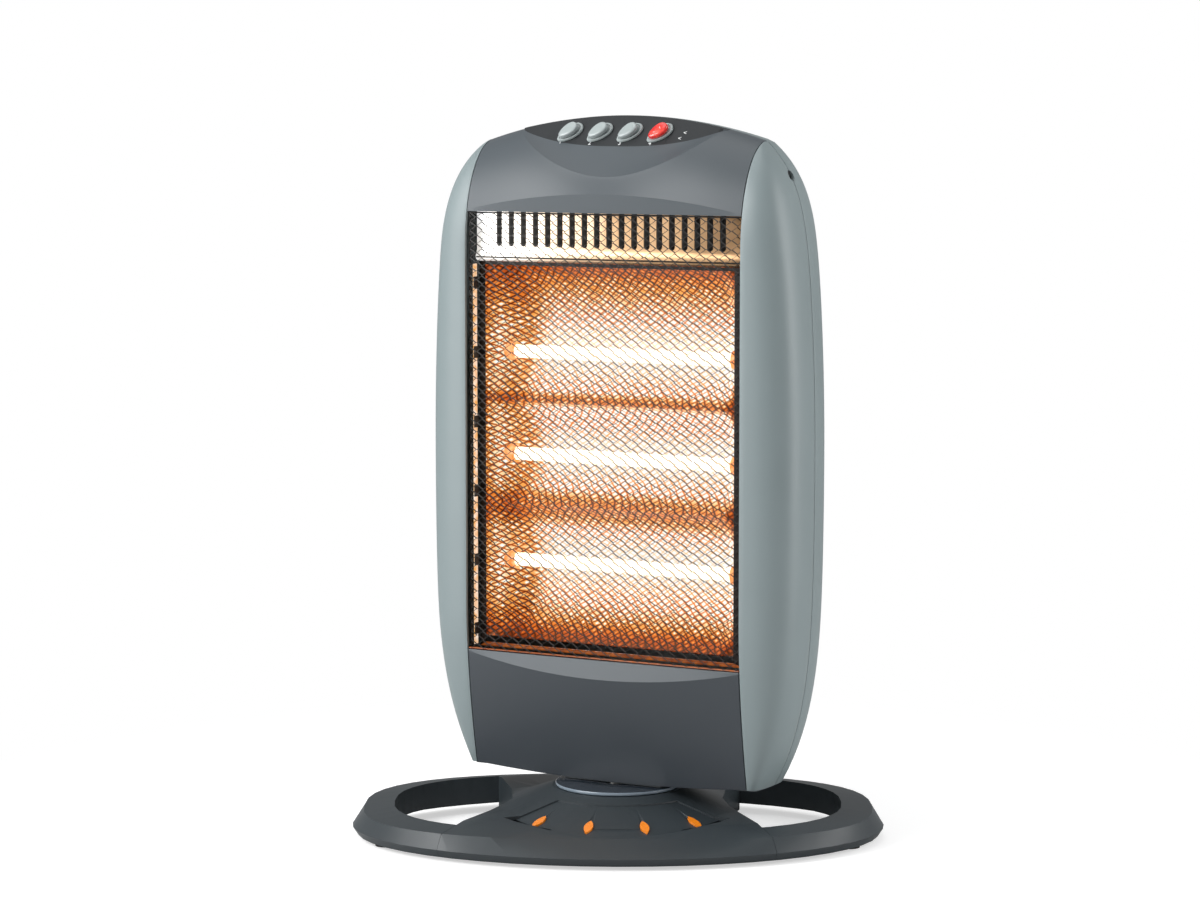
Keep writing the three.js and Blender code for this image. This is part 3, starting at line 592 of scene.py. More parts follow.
@dataclass(frozen=True)
class LitReflector(Finish):
    """Polished aluminium troughs with painted glow and reflections of the lamps: white beside the
    lamps and copper further away.
    """

    low: float = 146.0
    high: float = 431.0
    half: float = 108.0
    net_across: float = 6.4
    net_up: float = 4.6

    # painted glow by share of the height, with painted shade at the two ridges as the dips in it
    zones = (
        (0.0, 0.16), (0.02, 0.32), (0.045, 0.6), (0.09, 0.86), (0.2, 1.0), (0.29, 0.9),
        (0.325, 0.56), (0.35, 0.44), (0.372, 0.54), (0.4, 0.9), (0.484, 1.0), (0.615, 0.9),
        (0.634, 0.42), (0.643, 0.5), (0.66, 0.9), (0.757, 1.0), (0.83, 0.94), (0.89, 0.74),
        (0.955, 0.5), (0.972, 0.36), (1.0, 0.22),
    )  # fmt: skip
    # painted glow by share of the width, fading to painted shade at both cheeks
    sides = (
        (0.0, 0.6), (0.03, 0.82), (0.06, 0.68), (0.1, 0.66), (0.13, 0.86), (0.2, 1.0),
        (0.93, 1.0), (0.955, 0.55), (0.972, 0.26),
    )  # fmt: skip
    # the three painted white reflections of the lamps behind them, and how far across they reach
    rows = (
        (0.11, 0.0), (0.165, 1.0), (0.235, 1.0), (0.3, 0.0), (0.39, 0.0), (0.45, 1.0),
        (0.515, 1.0), (0.57, 0.0), (0.66, 0.0), (0.72, 1.0), (0.79, 1.0), (0.85, 0.0),
    )  # fmt: skip
    reach = ((0.05, 0.0), (0.15, 0.9), (0.94, 1.0), (0.96, 0.2))
    # glow colours, from copper in painted shade to the painted white reflections
    tints = (
        (0.0, "2e0e06"), (0.14, "6e280c"), (0.3, "bf5018"), (0.48, "e57b28"),
        (0.62, "f5ad58"), (0.76, "ffe4b4"), (0.88, "fffaf0"), (1.0, "ffffff"),
    )  # fmt: skip

    def inputs(self, tree: Tree, place: Socket) -> dict:
        """Gives the painted glow by zones, crossed by a painted reflection of the net's weave and
        dotted with painted glints.

        Args:
            tree: the material's node tree.
            place: socket with the object coordinates.

        Returns:
            Node or value for each of the shader's inputs.
        """
        turned = add_node(tree, MAPPING, {"Vector": place, "Rotation": (0, 0, HEAD_TURN)})
        axes = add_node(tree, "ShaderNodeSeparateXYZ", {"Vector": turned})
        u, z = axes.outputs[0], axes.outputs[2]
        width = {"Value": u, "From Min": -self.half * MM, "From Max": self.half * MM}
        height = {"Value": z, "From Min": self.low * MM, "From Max": self.high * MM}
        across = add_node(tree, RANGE, width)
        up = add_node(tree, RANGE, height)
        zone = set_stops(add_node(tree, RAMP, {"Fac": up}), self.zones)
        side = set_stops(add_node(tree, RAMP, {"Fac": across}), self.sides)
        row = set_stops(add_node(tree, RAMP, {"Fac": up}), self.rows)
        reach = set_stops(add_node(tree, RAMP, {"Fac": across}), self.reach)
        glow = add_node(tree, MATH, {0: zone, 1: side}, operation="MULTIPLY")
        rows = add_node(tree, MATH, {0: row, 1: reach}, operation="MULTIPLY")
        painted_glow = add_node(tree, MATH, {0: glow, 1: rows}, operation="MAXIMUM")
        wave = add_node(tree, NOISE, {"Vector": place, "Scale": 60.0, "Detail": 2.0})
        near = self._strand(tree, u, z, wave)
        lines = {"Value": near, "From Min": 0.06, "From Max": 0.15, "To Min": 0.5, "To Max": 0.0}
        # painted glints: bright spots between the strands, in patches, stronger where the painted
        # glow is strong
        spots = {"Value": near, "From Min": 0.22, "From Max": 0.42, "To Min": 0.0, "To Max": 0.5}
        line = add_node(tree, RANGE, lines)
        spot = add_node(tree, RANGE, spots)
        spare = add_node(tree, MATH, {0: rows, 1: 0.24}, operation="MULTIPLY")
        weave = add_node(tree, MATH, {0: line, 1: spare}, operation="SUBTRACT", use_clamp=True)
        patch = add_node(tree, NOISE, {"Vector": place, "Scale": 150.0, "Detail": 1.0})
        shown = add_node(tree, RANGE, {"Value": patch, "From Min": 0.4, "From Max": 0.6})
        painted_glints = add_node(tree, MATH, {0: spot, 1: shown}, operation="MULTIPLY")
        painted_glow_root = add_node(tree, MATH, {0: painted_glow, 1: 0.5}, operation="POWER")
        woven = add_node(tree, MATH, {0: painted_glow, 1: weave}, operation="SUBTRACT", use_clamp=True)
        lift = add_node(tree, MATH, {0: painted_glints, 1: painted_glow_root}, operation="MULTIPLY")
        seen = add_node(tree, MATH, {0: woven, 1: lift}, operation="ADD", use_clamp=True)
        return {
            "Emission Color": set_stops(add_node(tree, RAMP, {"Fac": seen}), self.tints),
            "Emission Strength": 1.0,
            "Base Color": linear("4e3220"),
            "Metallic": 1.0,
            "Normal": add_node(tree, BUMP, {"Height": near, "Strength": 0.25, "Distance": 0.0006}),
            "Roughness": add_node(tree, RANGE, {"Value": wave, "To Min": 0.22, "To Max": 0.4}),
        }

    def _strand(
        self,
        tree: Tree,
        u: Socket,
        z: Socket,
        wave: Node,
    ) -> Node:
        """Measures how far a place is from the nearest strand of the weave.

        Args:
            tree: the material's node tree.
            u: socket with the place across the head.
            z: socket with the height.
            wave: noise that makes the weave uneven.

        Returns:
            Node with the distance, as a share of a mesh of the weave.
        """
        jitter = add_node(tree, MATH, {0: wave, 1: 1.1}, operation="MULTIPLY")
        p = add_node(tree, MATH, {0: u, 1: 1000 / self.net_across}, operation="MULTIPLY")
        q = add_node(tree, MATH, {0: z, 1: 1000 / self.net_up}, operation="MULTIPLY")
        p = add_node(tree, MATH, {0: p, 1: jitter}, operation="ADD")
        both = []
        for operation in ("ADD", "SUBTRACT"):
            way = add_node(tree, MATH, {0: p, 1: q}, operation=operation)
            both.append(add_node(tree, MATH, {0: way, 1: 0.5}, operation="PINGPONG"))
        return add_node(tree, MATH, {0: both[0], 1: both[1]}, operation="MINIMUM")


@dataclass(frozen=True)
class TintedSheetWithPaintedLight(Finish):
    """Polished steel above the lamps: a painted white reflection and glow at one end, straw and
    bronze further on, darker in painted shade at the far end.
    """

    half: float = 114.0

    # a painted white reflection at one end, falling to darker painted shade at the other
    tints = (
        (0.0, "ffffff"), (0.12, "fff6ea"), (0.3, "e3c9ad"), (0.5, "b08f6d"), (0.8, "a38462"),
        (1.0, "6f553b"),
    )  # fmt: skip
    # painted glow, strongest at the white end
    painted_shine = ((0.0, 0.85), (0.12, 0.7), (0.3, 0.4), (0.5, 0.22), (1.0, 0.1))

    def inputs(self, tree: Tree, place: Socket) -> dict:
        """Gives tint, painted glow and painted shade that fall off across the head, in uneven
        patches.

        Args:
            tree: the material's node tree.
            place: socket with the object coordinates.

        Returns:
            Node or value for each of the shader's inputs.
        """
        turned = add_node(tree, MAPPING, {"Vector": place, "Rotation": (0, 0, HEAD_TURN)})
        u = add_node(tree, "ShaderNodeSeparateXYZ", {"Vector": turned}).outputs[0]
        width = {"Value": u, "From Min": -self.half * MM, "From Max": self.half * MM}
        patches = add_node(tree, NOISE, {"Vector": place, "Scale": 26.0, "Detail": 3.0})
        drift = add_node(tree, RANGE, {"Value": patches, "To Min": -0.16, "To Max": 0.16})
        share = add_node(tree, RANGE, width)
        moved = add_node(tree, MATH, {0: share, 1: drift}, operation="ADD")
        tint = set_stops(add_node(tree, RAMP, {"Fac": moved}), self.tints)
        return {
            "Base Color": tint,
            "Emission Color": tint,
            "Emission Strength": set_stops(add_node(tree, RAMP, {"Fac": moved}), self.painted_shine),
            "Metallic": 0.85,
            "Roughness": add_node(tree, RANGE, {"Value": patches, "To Min": 0.2, "To Max": 0.38}),
        }


@dataclass(frozen=True)
class Glow(Finish):
    """Quartz, steatite or sheet metal that the lamps light up."""

    colour: str
    strength: float
    hot: str = "fffdf5"

    def inputs(self, tree: Tree, place: Socket) -> dict:
        """Gives a flickering glow between two colours.

        Args:
            tree: the material's node tree.
            place: socket with the object coordinates.

        Returns:
            Node or value for each of the shader's inputs.
        """
        flicker = add_node(tree, NOISE, {"Vector": place, "Scale": 220.0, "Detail": 1.0})
        ramp = add_node(tree, RAMP, {"Fac": flicker})
        return {
            "Emission Color": set_stops(ramp, [(0.3, self.colour), (0.75, self.hot)]),
            "Emission Strength": self.strength,
            "Base Color": linear(self.colour),
            "Roughness": 0.05,
        }


class Finishes:
    """The heater's finishes, by what they cover."""

    # moulded ABS with an eroded grain: even colour, broad soft highlights
    FRONT = MouldedPlastic("satin_dark_abs", "4a5156")
    # painted shade: the front's dark plastic made darker for the chin, which faces down
    SHADED_CHIN = MouldedPlastic("satin_dark_abs_in_painted_shade", "373d43")
    SIDES = MouldedPlastic("satin_grey_green_abs", "7f8b8d")
    BASE = MouldedPlastic("satin_charcoal_abs", "2f363a")
    # the same with a coarse matt grain: near-black, with hardly a highlight
    CONTROLS = MouldedPlastic("control_crescent_abs", "1d2124", Sheen.MATT, 1.4, 0.12)
    # polished mouldings: small bright highlights on a clean colour
    SWITCH = MouldedPlastic("silver_grey_abs", "a3acac", Sheen.GLOSS, 1.2, 0.02, 0.2)
    INSERT = MouldedPlastic("orange_acrylic", "f58a1f", Sheen.GLOSS, 2.0, 0.01, 0.7)
    DISC = MouldedPlastic("dark_gloss_disc", "27303a", Sheen.GLOSS, 2.0, 0.01, 0.6)
    # painted highlight: the disc's edge is made pale to stand for its bright reflection
    DISC_RIM_HIGHLIGHT = MouldedPlastic("pale_gloss_rim_painted_highlight", "7b8995", Sheen.GLOSS, 2.0, 0.01, 0.8)
    # dull mouldings and rubber: dark and nearly without shine
    BLACK = MouldedPlastic("matt_black_nylon", "1e1f20", Sheen.MATT)
    RUBBER = MouldedPlastic("foot_rubber", "1b1b1b", Sheen.MATT, 0.7, 0.2)
    # fired ceramic and pad-printed ink: pale and dry
    CERAMIC = MouldedPlastic("steatite_ceramic", "e9e4d8", Sheen.MATT, 0.5, 0.15)
    MARK = MouldedPlastic("pad_printed_white", "e8ecec", Sheen.MATT, 1.0, 0.01)
    # tinted polycarbonate: a deep red that light passes into
    RED = TranslucentCap("red_polycarbonate", "c8161f", "ff5a4a")
    # plated, enamelled and blackened steel: drawn lines under a grey or brown-black shine
    STEEL = Metal("zinc_plated_steel", "9a9a98", 0.3)
    WIRE = Metal("black_enamelled_wire", "120f0d", 0.38, 0.5, 0.25)
    BAND = Metal("blackened_steel_band", "1c1613", 0.4, 0.5, 0.6)
    # polished aluminium and tinted steel, with painted glow, reflections and shade from the lamps'
    # light
    REFLECTOR = LitReflector("lit_reflector")
    VENT = TintedSheetWithPaintedLight("vent_sheet")
    # the lamps and what they light, with painted glow: white quartz, orange ceramic, gold edge,
    # copper-lit sill
    QUARTZ = Glow("quartz_tube", "ffe6c0", 1.6)
    LIT_CERAMIC = Glow("lit_steatite", "e07a2c", 0.7, "ffd9a0")
    LIT_EDGE = Glow("lit_reflector_edge", "e2a456", 0.75)
    LAMPLIT_SILL = Glow("lit_rolled_sill", "6e3010", 0.5, "c8702a")


def two_tone(
    piece: Piece,
    first: Finish,
    second: Finish,
    is_second: Callable[[Face], bool],
) -> None:
    """Dresses a piece in two finishes.

    Args:
        piece: the mesh to dress.
        first: finish of most faces.
        second: finish of the rest.
        is_second: tells for a face whether it has the second finish.
    """
    piece.data.materials.clear()
    for finish in (first, second):
        piece.data.materials.append(finish.material())
    for face in piece.data.polygons:
        face.material_index = int(is_second(face))


def dress(piece: Piece, finish: Finish) -> None:
    """Gives a piece one finish all over."""
    piece.data.materials.clear()
    piece.data.materials.append(finish.material())


def settle(
    piece: Piece, finish: Finish, body: str, nodes: Sequence[str] = ()
) -> None:
    """Dresses a finished piece, unless it has two finishes, and ties it to its body.

    Args:
        piece: the finished mesh.
        finish: what it is dressed in.
        body: body of the frame that it moves with.
        nodes: frame nodes that it stands for.
    """
    if len(piece.data.materials) < 2:
        dress(piece, finish)
    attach(piece, body)
    if nodes:
        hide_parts(*nodes)
    LOG.info("%s: %d faces, on %s", piece.name, len(piece.data.polygons), body)


# ---- Head shells ---------------------------------------------------------------------
@dataclass
class HeadForm:
    """The head's outer form, in its own axes: u right, v back, z up."""

    height: float = 540
    shoulder: float = 522
    bottom: float = 48
    bottom_sag: float = 5
    band_half: float = 115
    side_half: float = 155
    side_mid: float = 290
    parting_v: float = 15
    chin_v: float = -14
    dome_depth: float = 43.7
    dome_base: float = 442
    rear_depth: float = 62
    chin_start: float = 33
    rear_rise: float = 85
    rear_foot: float = 180
    opening_low: float = 137
    opening_high: float = 468.5
    lens: float = 14
    top_crown: float = 4
    chin_crown: float = 5
    pod_half: float = 85
    pod_low: float = 495
    lip_z: float = 517.3
    lip_v: float = -4
    wall: float = 2.4

    @property
    def slope(self) -> float:
        """Rise of the control plane for each step back."""
        return (self.height - self.lip_z) / (self.parting_v - 2 - self.lip_v)

    def control_place(self, u: float, along: float) -> Matrix:
        """Where something sits on the control plane, a way up from its lip.

        Args:
            u: place across.
            along: way up from the crescent's lip.

        Returns:
            Matrix for a mesh drawn flat at the origin.
        """
        step = along / math.hypot(1, self.slope)
        spot = head_point(u, self.lip_v + step, self.lip_z + step * self.slope)
        tilt = Matrix.Rotation(math.atan(self.slope), 4, "X")
        return Matrix.Translation(spot) @ TURNED @ tilt

    def dome_top(self, u: float) -> float:
        """Height of the head's top ridge."""
        return self.height - (self.height - self.shoulder) * (u / self.band_half) ** 2

    def bottom_z(self, u: float) -> float:
        """Height of the chin's lower edge."""
        return self.bottom - self.bottom_sag * (1 - (u / self.band_half) ** 2)

    def face_v(self, u: float, z: float) -> float:
        """Depth of the front face: a dome above, upright in the middle, receding below.

        Args:
            u: place across.
            z: height.

        Returns:
            Depth in millimetres.
        """
        front = self.parting_v - self.dome_depth
        if z > self.dome_base:
            t = min((z - self.dome_base) / (self.dome_top(u) - self.dome_base), 1)
            return self.parting_v - self.dome_depth * math.sqrt(1 - t * t)
        chin_top = self.opening_low + self.chin_start
        if z >= chin_top:
            return front
        t = (chin_top - z) / (chin_top - self.bottom)
        return front + (self.chin_v - front) * t**1.7

    def side_reach(self, z: float) -> float:
        """Half the head's width at a height.

        Args:
            z: height.

        Returns:
            Reach in millimetres.
        """
        if z > self.shoulder:
            rise = (self.height - z) / (self.height - self.shoulder)
            return self.band_half * math.sqrt(max(rise, 0.0))
        if z > self.side_mid:
            w = (z - self.side_mid) / (self.shoulder - self.side_mid)
            return self.side_half - 14 * w**2 - (self.side_half - self.band_half - 14) * w**9
        w = (self.side_mid - z) / (self.side_mid - self.bottom)
        return self.side_half - 6 * w**2 - 25 * w**5

    def depth_behind(self, z: float) -> float:
        """Depth of the rear shell behind the parting line at a height.

        Args:
            z: height.

        Returns:
            Depth in millimetres.
        """
        start = self.height - self.rear_rise
        if z > start:
            t = (z - start) / (self.height - start)
            return self.rear_depth * math.sqrt(max(1 - t * t, 0.0))
        w = max(0.0, (self.rear_foot - z) / (self.rear_foot - self.bottom))
        return self.rear_depth - 14 * w**2


@dataclass
class Shells:
    """The head's mouldings: rear shell, side panels, top panel and chin."""

    form: HeadForm = field(default_factory=HeadForm)
    louvres: int = 7
    louvre_pitch: float = 12
    louvre_height: float = 4
    louvre_first: float = 388
    louvre_half: float = 62
    screw_z: float = 497
    screw_radius: float = 4
    screw_u: float = 144
    inlet: Point = (60, 65, 75)
    inlet_radius: float = 5.9
    rocker_hole: Point = (12.6, 7.8, 26)
    seam: float = 0.35

    def build(self) -> None:
        """Builds and dresses every moulding of the head."""
        self._rear()
        self._side(1, "right")
        self._side(-1, "left")
        self._top()
        self._chin()

    def _rear(self) -> None:
        """Shapes the rear shell with its louvres, screw wells and inlet."""
        form = self.form

        def place(s: float, t: float) -> Point:
            """Places one corner of the sheet, for shares from 0 to 1.

            Args:
                s: share across.
                t: share up.

            Returns:
                The point in the head's axes.
            """
            z = form.bottom + (form.height - form.bottom) * math.sin(t * math.pi / 2)
            a = math.pi * s
            reach = form.side_reach(z)
            depth = form.depth_behind(z)
            u = reach * math.copysign(abs(math.cos(a)) ** (2 / 2.8), math.cos(a))
            v = form.parting_v + self.seam + depth * abs(math.sin(a)) ** (2 / 2.8)
            return u, v, z

        shell = grid_sheet("rear_shell_moulding", 96, 84, place)
        weld(shell)
        self._give_wall(shell)
        for i in range(self.louvres):
            cut(shell, self._louvre(self.louvre_first + i * self.louvre_pitch))
        for side in (1, -1):
            cut(shell, self._well(side))
        cut(shell, bar(self.inlet_radius, 50, head_point(*self.inlet), "X"))
        round_edges(shell, 0.35, 50)
        smooth(shell, 28)
        settle(shell, Finishes.SIDES, BEHIND, ["rear_shell"])

    def _give_wall(self, shell: Piece) -> None:
        """Turns a sheet's faces away from the head's middle and thickens it inwards.

        Args:
            shell: the sheet.
        """
        aim_faces(shell, HEART, towards=False)
        wall = self.form.wall * MM
        modify(shell, "SOLIDIFY", thickness=wall, offset=-1, use_even_offset=True)

    def _louvre(self, low: float) -> Piece:
        """A long bar with round ends that cuts one louvre.

        Args:
            low: the louvre's lower edge.

        Returns:
            The cutter.
        """
        piece = block((2 * self.louvre_half, 60, self.louvre_height))
        width = self.louvre_height * 0.45 * MM
        modify(piece, "BEVEL", width=width, segments=3, limit_method="NONE")
        spot = head_point(0, 75, low + self.louvre_height / 2)
        apply_place(piece, Matrix.Translation(spot) @ TURNED)
        return piece

    def _well(self, side: int) -> Piece:
        """A round bar that cuts the screw well on the parting line."""
        spot = head_point(side * self.screw_u, self.form.parting_v, self.screw_z)
        return bar(self.screw_radius, 30, spot, "Y")

    def _side(self, side: int, name: str) -> None:
        """Shapes one side panel between the front band and the parting line.

        Args:
            side: 1 for the right one and -1 for the left one.
            name: which side it is.
        """
        form = self.form
        seam_u = form.band_half + self.seam
        top = form.shoulder - 0.4

        def place(s: float, t: float) -> Point:
            """Places one corner of the sheet, for shares from 0 to 1.

            Args:
                s: share across.
                t: share up.

            Returns:
                The point in the head's axes.
            """
            z = form.bottom + (top - form.bottom) * math.sin(t * math.pi / 2)
            a = math.pi / 2 * s
            reach = max(form.side_reach(z), seam_u + 0.1)
            front = form.face_v(form.band_half, z)
            u = seam_u + (reach - seam_u) * math.sin(a) ** (2 / 3)
            back = form.parting_v - self.seam
            v = front + (back - front) * (1 - math.cos(a) ** (2 / 3))
            return side * u, v, z

        panel = grid_sheet(f"{name}_side_moulding", 36, 84, place)
        weld(panel)
        self._give_wall(panel)
        cut(panel, self._well(side))
        round_edges(panel, 0.35, 50)
        smooth(panel, 28)
        settle(panel, Finishes.SIDES, BEHIND, [f"{name}_side_panel"])

    def _top_profile(self, u: float) -> list[tuple[float, float]]:
        """Profile of the top panel at one place across, from the opening to the ridge.

        Args:
            u: place across.

        Returns:
            Depth and height of each point.
        """
        form = self.form
        q = min(abs(u) / form.pod_half, 1)
        crown = 1 - (u / form.band_half) ** 2
        top = form.dome_top(u)
        crease = form.opening_high + 1.2 + (form.lens - 1.2) * crown
        tip = form.dome_top(form.pod_half)
        low = form.pod_low + (tip - 1.2 - form.pod_low) * q**1.9 if q < 1 else top - 1.2
        lip = form.lip_z + (tip - 0.8 - form.lip_z) * q**2.6 if q < 1 else top - 0.8
        plane = form.lip_v + (lip - form.lip_z) / form.slope
        lip_v = plane + (form.face_v(u, lip) - plane) * q**12
        points = [(form.face_v(form.band_half, form.opening_high), form.opening_high)]
        for k in range(13):
            s = k / 12
            z = crease + (low - crease) * s
            points.append((form.face_v(u, z) - form.top_crown * crown * (1 - s) ** 1.2, z))
        start = points[-1]
        for k in range(1, 7):
            s = k / 6
            sag = 1.6 * (1 - q) * math.sin(math.pi * s)
            points.append((start[0] + (lip_v - start[0]) * s + sag, start[1] + (lip - start[1]) * s))
        meet = form.lip_v + (top - 0.15 - form.lip_z) / form.slope
        edge_v = max(meet, lip_v + 0.6) if q < 1 else form.parting_v - 3
        points.append((edge_v, top - 0.15))
        points.append((form.parting_v - self.seam, top))
        return points

    def _top(self) -> None:
        """Shapes the top panel with its control crescent and lens facet."""
        half = self.form.band_half - self.seam
        rows = len(self._top_profile(0.0)) - 1

        def place(s: float, t: float) -> Point:
            """Places one corner of the sheet, for shares from 0 to 1.

            Args:
                s: share across.
                t: share up.

            Returns:
                The point in the head's axes.
            """
            u = -half + 2 * half * s
            v, z = self._top_profile(u)[round(t * rows)]
            return u, v, z

        panel = grid_sheet("top_moulding", 96, rows, place)
        weld(panel, outward=False)

        def is_control(face: Face) -> bool:
            """Tells whether a face lies on the control crescent.

            Args:
                face: one of the panel's faces.

            Returns:
                True if it does.
            """
            u, v, z = head_axes(face.center)
            lip_v, lip_z = self._top_profile(u)[-3]
            return v > lip_v + 0.05 and abs(u) < self.form.pod_half and z > lip_z

        aim_faces(panel, HEART, towards=False)
        two_tone(panel, Finishes.FRONT, Finishes.CONTROLS, is_control)
        self._give_wall(panel)
        switches = Switches()
        for i in range(switches.count):
            plug = block(self.rocker_hole)
            apply_place(plug, switches.matrix(i))
            cut(panel, plug)
        round_edges(panel, 0.35, 60)
        smooth(panel, 14)
        settle(panel, Finishes.FRONT, BEHIND, ["top_panel"])

    def _chin(self) -> None:
        """Shapes the chin panel with its lens facet."""
        form = self.form
        half = form.band_half - self.seam
        rows = 25

        def place(s: float, t: float) -> Point:
            """Places one corner of the sheet, for shares from 0 to 1.

            Args:
                s: share across.
                t: share up.

            Returns:
                The point in the head's axes.
            """
            u = -half + 2 * half * s
            crown = 1 - (u / form.band_half) ** 2
            crease = form.opening_low - 1.2 - (form.lens - 1.2) * crown
            k = round(t * rows)
            if k == 0:
                return u, form.face_v(form.band_half, form.opening_low), form.opening_low
            share = (k - 1) / (rows - 1)
            z = crease + (form.bottom_z(u) - crease) * share
            return u, form.face_v(u, z) - form.chin_crown * crown * (1 - share), z

        panel = grid_sheet("chin_moulding", 64, rows, place)
        weld(panel, outward=False)

        def is_facet(face: Face) -> bool:
            """Tells whether a face lies on the lens facet.

            Args:
                face: one of the panel's faces.

            Returns:
                True if it does.
            """
            u, _, z = head_axes(face.center)
            crown = 1 - (u / form.band_half) ** 2
            return z > form.opening_low - 1.3 - (form.lens - 1.2) * crown

        # the chin's face is painted darker as shade; its lens facet keeps the front's colour
        two_tone(panel, Finishes.SHADED_CHIN, Finishes.FRONT, is_facet)
        self._give_wall(panel)
        round_edges(panel, 0.5, 50)
        smooth(panel, 12)
        settle(panel, Finishes.SHADED_CHIN, BEHIND, ["chin_panel"])


# ---- Switches ------------------------------------------------------------------------
@dataclass
class Switches:
    """Four leaf-shaped rocker switches on the control crescent."""

    form: HeadForm = field(default_factory=HeadForm)
    count: int = 4
    pitch: float = 25.2
    first: float = -42
    length: float = 19
    width: float = 10
    along: float = 11.5
    pivot: float = 0.5
    tilt: float = 5
    turned: float = 40
    bezel_grow: tuple[float, float] = (3, 3.4)
    cap_grow: tuple[float, float] = (-2.6, 0.4)
    mark_top: float = 5.85
    marks: tuple[tuple[str, float], ...] = (("O", 3.2), ("I", -3.4))
    mark_size: float = 3.0
    mark_thick: float = 0.25
    legend_size: float = 5.0
    legend_thick: float = 0.1
    legend_proud: float = 0.12
    legend_along: float = 2.8
    arrow_along: tuple[float, float] = (7.5, 12.5)

    # lift in millimetres and growth of each step, from the foot up and into the recess
    bezel_steps = ((0.9, 1.0), (0.7, 0.94), (0.0, 0.9), (-0.7, 0.97))
    cap_steps = ((1.9, 1.0), (0.7, 0.97), (0.5, 0.88), (0.15, 0.7), (-0.2, 0.6))

    def matrix(self, i: int) -> Matrix:
        """Where switch i sits, for a mesh drawn flat at the origin."""
        place = self.form.control_place(self.first + i * self.pitch, self.along)
        return place @ Matrix.Rotation(math.radians(self.turned), 4, "Z")

    def _leaf(self, name: str, grow: tuple[float, float], low: float) -> Piece:
        """Adds a flat leaf: a disc that narrows towards one end.

        Args:
            name: the piece's name.
            grow: what is added to the length and to the width.
            low: its height.

        Returns:
            The leaf.
        """
        length, width = self.length + grow[0], self.width + grow[1]
        deselect()
        bpy.ops.mesh.primitive_circle_add(vertices=40, radius=1, fill_type="NGON")
        leaf = bpy.context.object
        leaf.name = name
        for vertex in leaf.data.vertices:
            a = math.atan2(vertex.co.y, vertex.co.x)
            taper = 0.92 + 0.2 * math.cos(a)
            x, y = length / 2 * math.cos(a), width / 2 * math.sin(a) * taper
            vertex.co = Vector((x, y, low)) * MM
        return leaf

    def _raise(self, leaf: Piece, steps: Sequence[tuple[float, float]]) -> None:
        """Draws a flat face upwards in steps of height and of scale.

        Args:
            leaf: the flat piece.
            steps: height and scale of each step.
        """
        with editing(leaf):
            for lift, grow in steps:
                move = {"value": (0, 0, lift * MM)}
                bpy.ops.mesh.extrude_region_move(TRANSFORM_OT_translate=move)
                bpy.ops.transform.resize(value=(grow, grow, 1))
            bpy.ops.mesh.select_all(action="SELECT")
            bpy.ops.mesh.normals_make_consistent(inside=False)

    def _mark(self, name: str, text: str, size: float, thick: float) -> Piece:
        """A generic mark, drawn flat at the origin and made a mesh.

        Args:
            name: the piece's name.
            text: what it shows.
            size: its height.
            thick: its thickness.

        Returns:
            The mark.
        """
        deselect()
        bpy.ops.object.text_add()
        mark = bpy.context.object
        mark.name = name
        mark.data.body = text
        mark.data.align_x = "CENTER"
        mark.data.align_y = "CENTER"
        mark.data.size = size * MM
        mark.data.extrude = thick / 2 * MM
        mark.data.resolution_u = 3
        bpy.ops.object.convert(target="MESH")
        return bpy.context.object

    def _legend(self, name: str, text: str, u: float, along: float) -> None:
        """Prints one plain mark on the control crescent.

        Args:
            name: the piece's name.
            text: what it shows.
            u: place across.
            along: way up from the crescent's lip.
        """
        mark = self._mark(name, text, self.legend_size, self.legend_thick)
        proud = Matrix.Translation((0, 0, self.legend_proud * MM))
        apply_place(mark, self.form.control_place(u, along) @ proud)
        settle(mark, Finishes.MARK, BEHIND)

    def build(self) -> None:
        """Builds each switch's bezel, cap and marks."""
        for i in range(self.count):
            u = self.first + i * self.pitch - 6
            self._legend(f"legend_number_{i + 1}", str(i + 1), u, self.legend_along)
        for i, along in enumerate(self.arrow_along):
            u = self.first + self.count * self.pitch - 8 + 3 * i
            self._legend(f"legend_arrow_{i + 1}", "<", u, along)
        for i in range(self.count):
            self._switch(i)

    def _switch(self, i: int) -> None:
        """Builds one switch: its bezel, its cap and the cap's two marks.

        Args:
            i: the switch's number, from 0.
        """
        last = i == self.count - 1
        body = f"rocker_{i + 1}"
        bezel = self._leaf(f"switch_bezel_{i + 1}", self.bezel_grow, 0.4)
        self._raise(bezel, self.bezel_steps)
        smooth(bezel, 40)
        apply_place(bezel, self.matrix(i))
        settle(bezel, Finishes.SWITCH, BEHIND, [f"switch_body_{i + 1}"])
        cap = self._leaf(f"rocker_cap_{i + 1}", self.cap_grow, 2.9)
        self._raise(cap, self.cap_steps)
        smooth(cap, 45)
        hinge = Matrix.Translation((0, 0, self.pivot * MM))
        tip = hinge @ Matrix.Rotation(math.radians(-self.tilt), 4, "Y") @ hinge.inverted()
        apply_place(cap, self.matrix(i) @ tip)
        upright = Matrix.Rotation(math.radians(-90), 4, "Z")
        for text, x in self.marks:
            name = f"cap_mark_{text}_{i + 1}"
            mark = self._mark(name, text, self.mark_size, self.mark_thick)
            spot = Matrix.Translation(Vector((x, 0, self.mark_top)) * MM)
            apply_place(mark, self.matrix(i) @ tip @ spot @ upright)
            settle(mark, Finishes.MARK if last else Finishes.SWITCH, body)
        settle(cap, Finishes.RED if last else Finishes.SWITCH, body, [body])


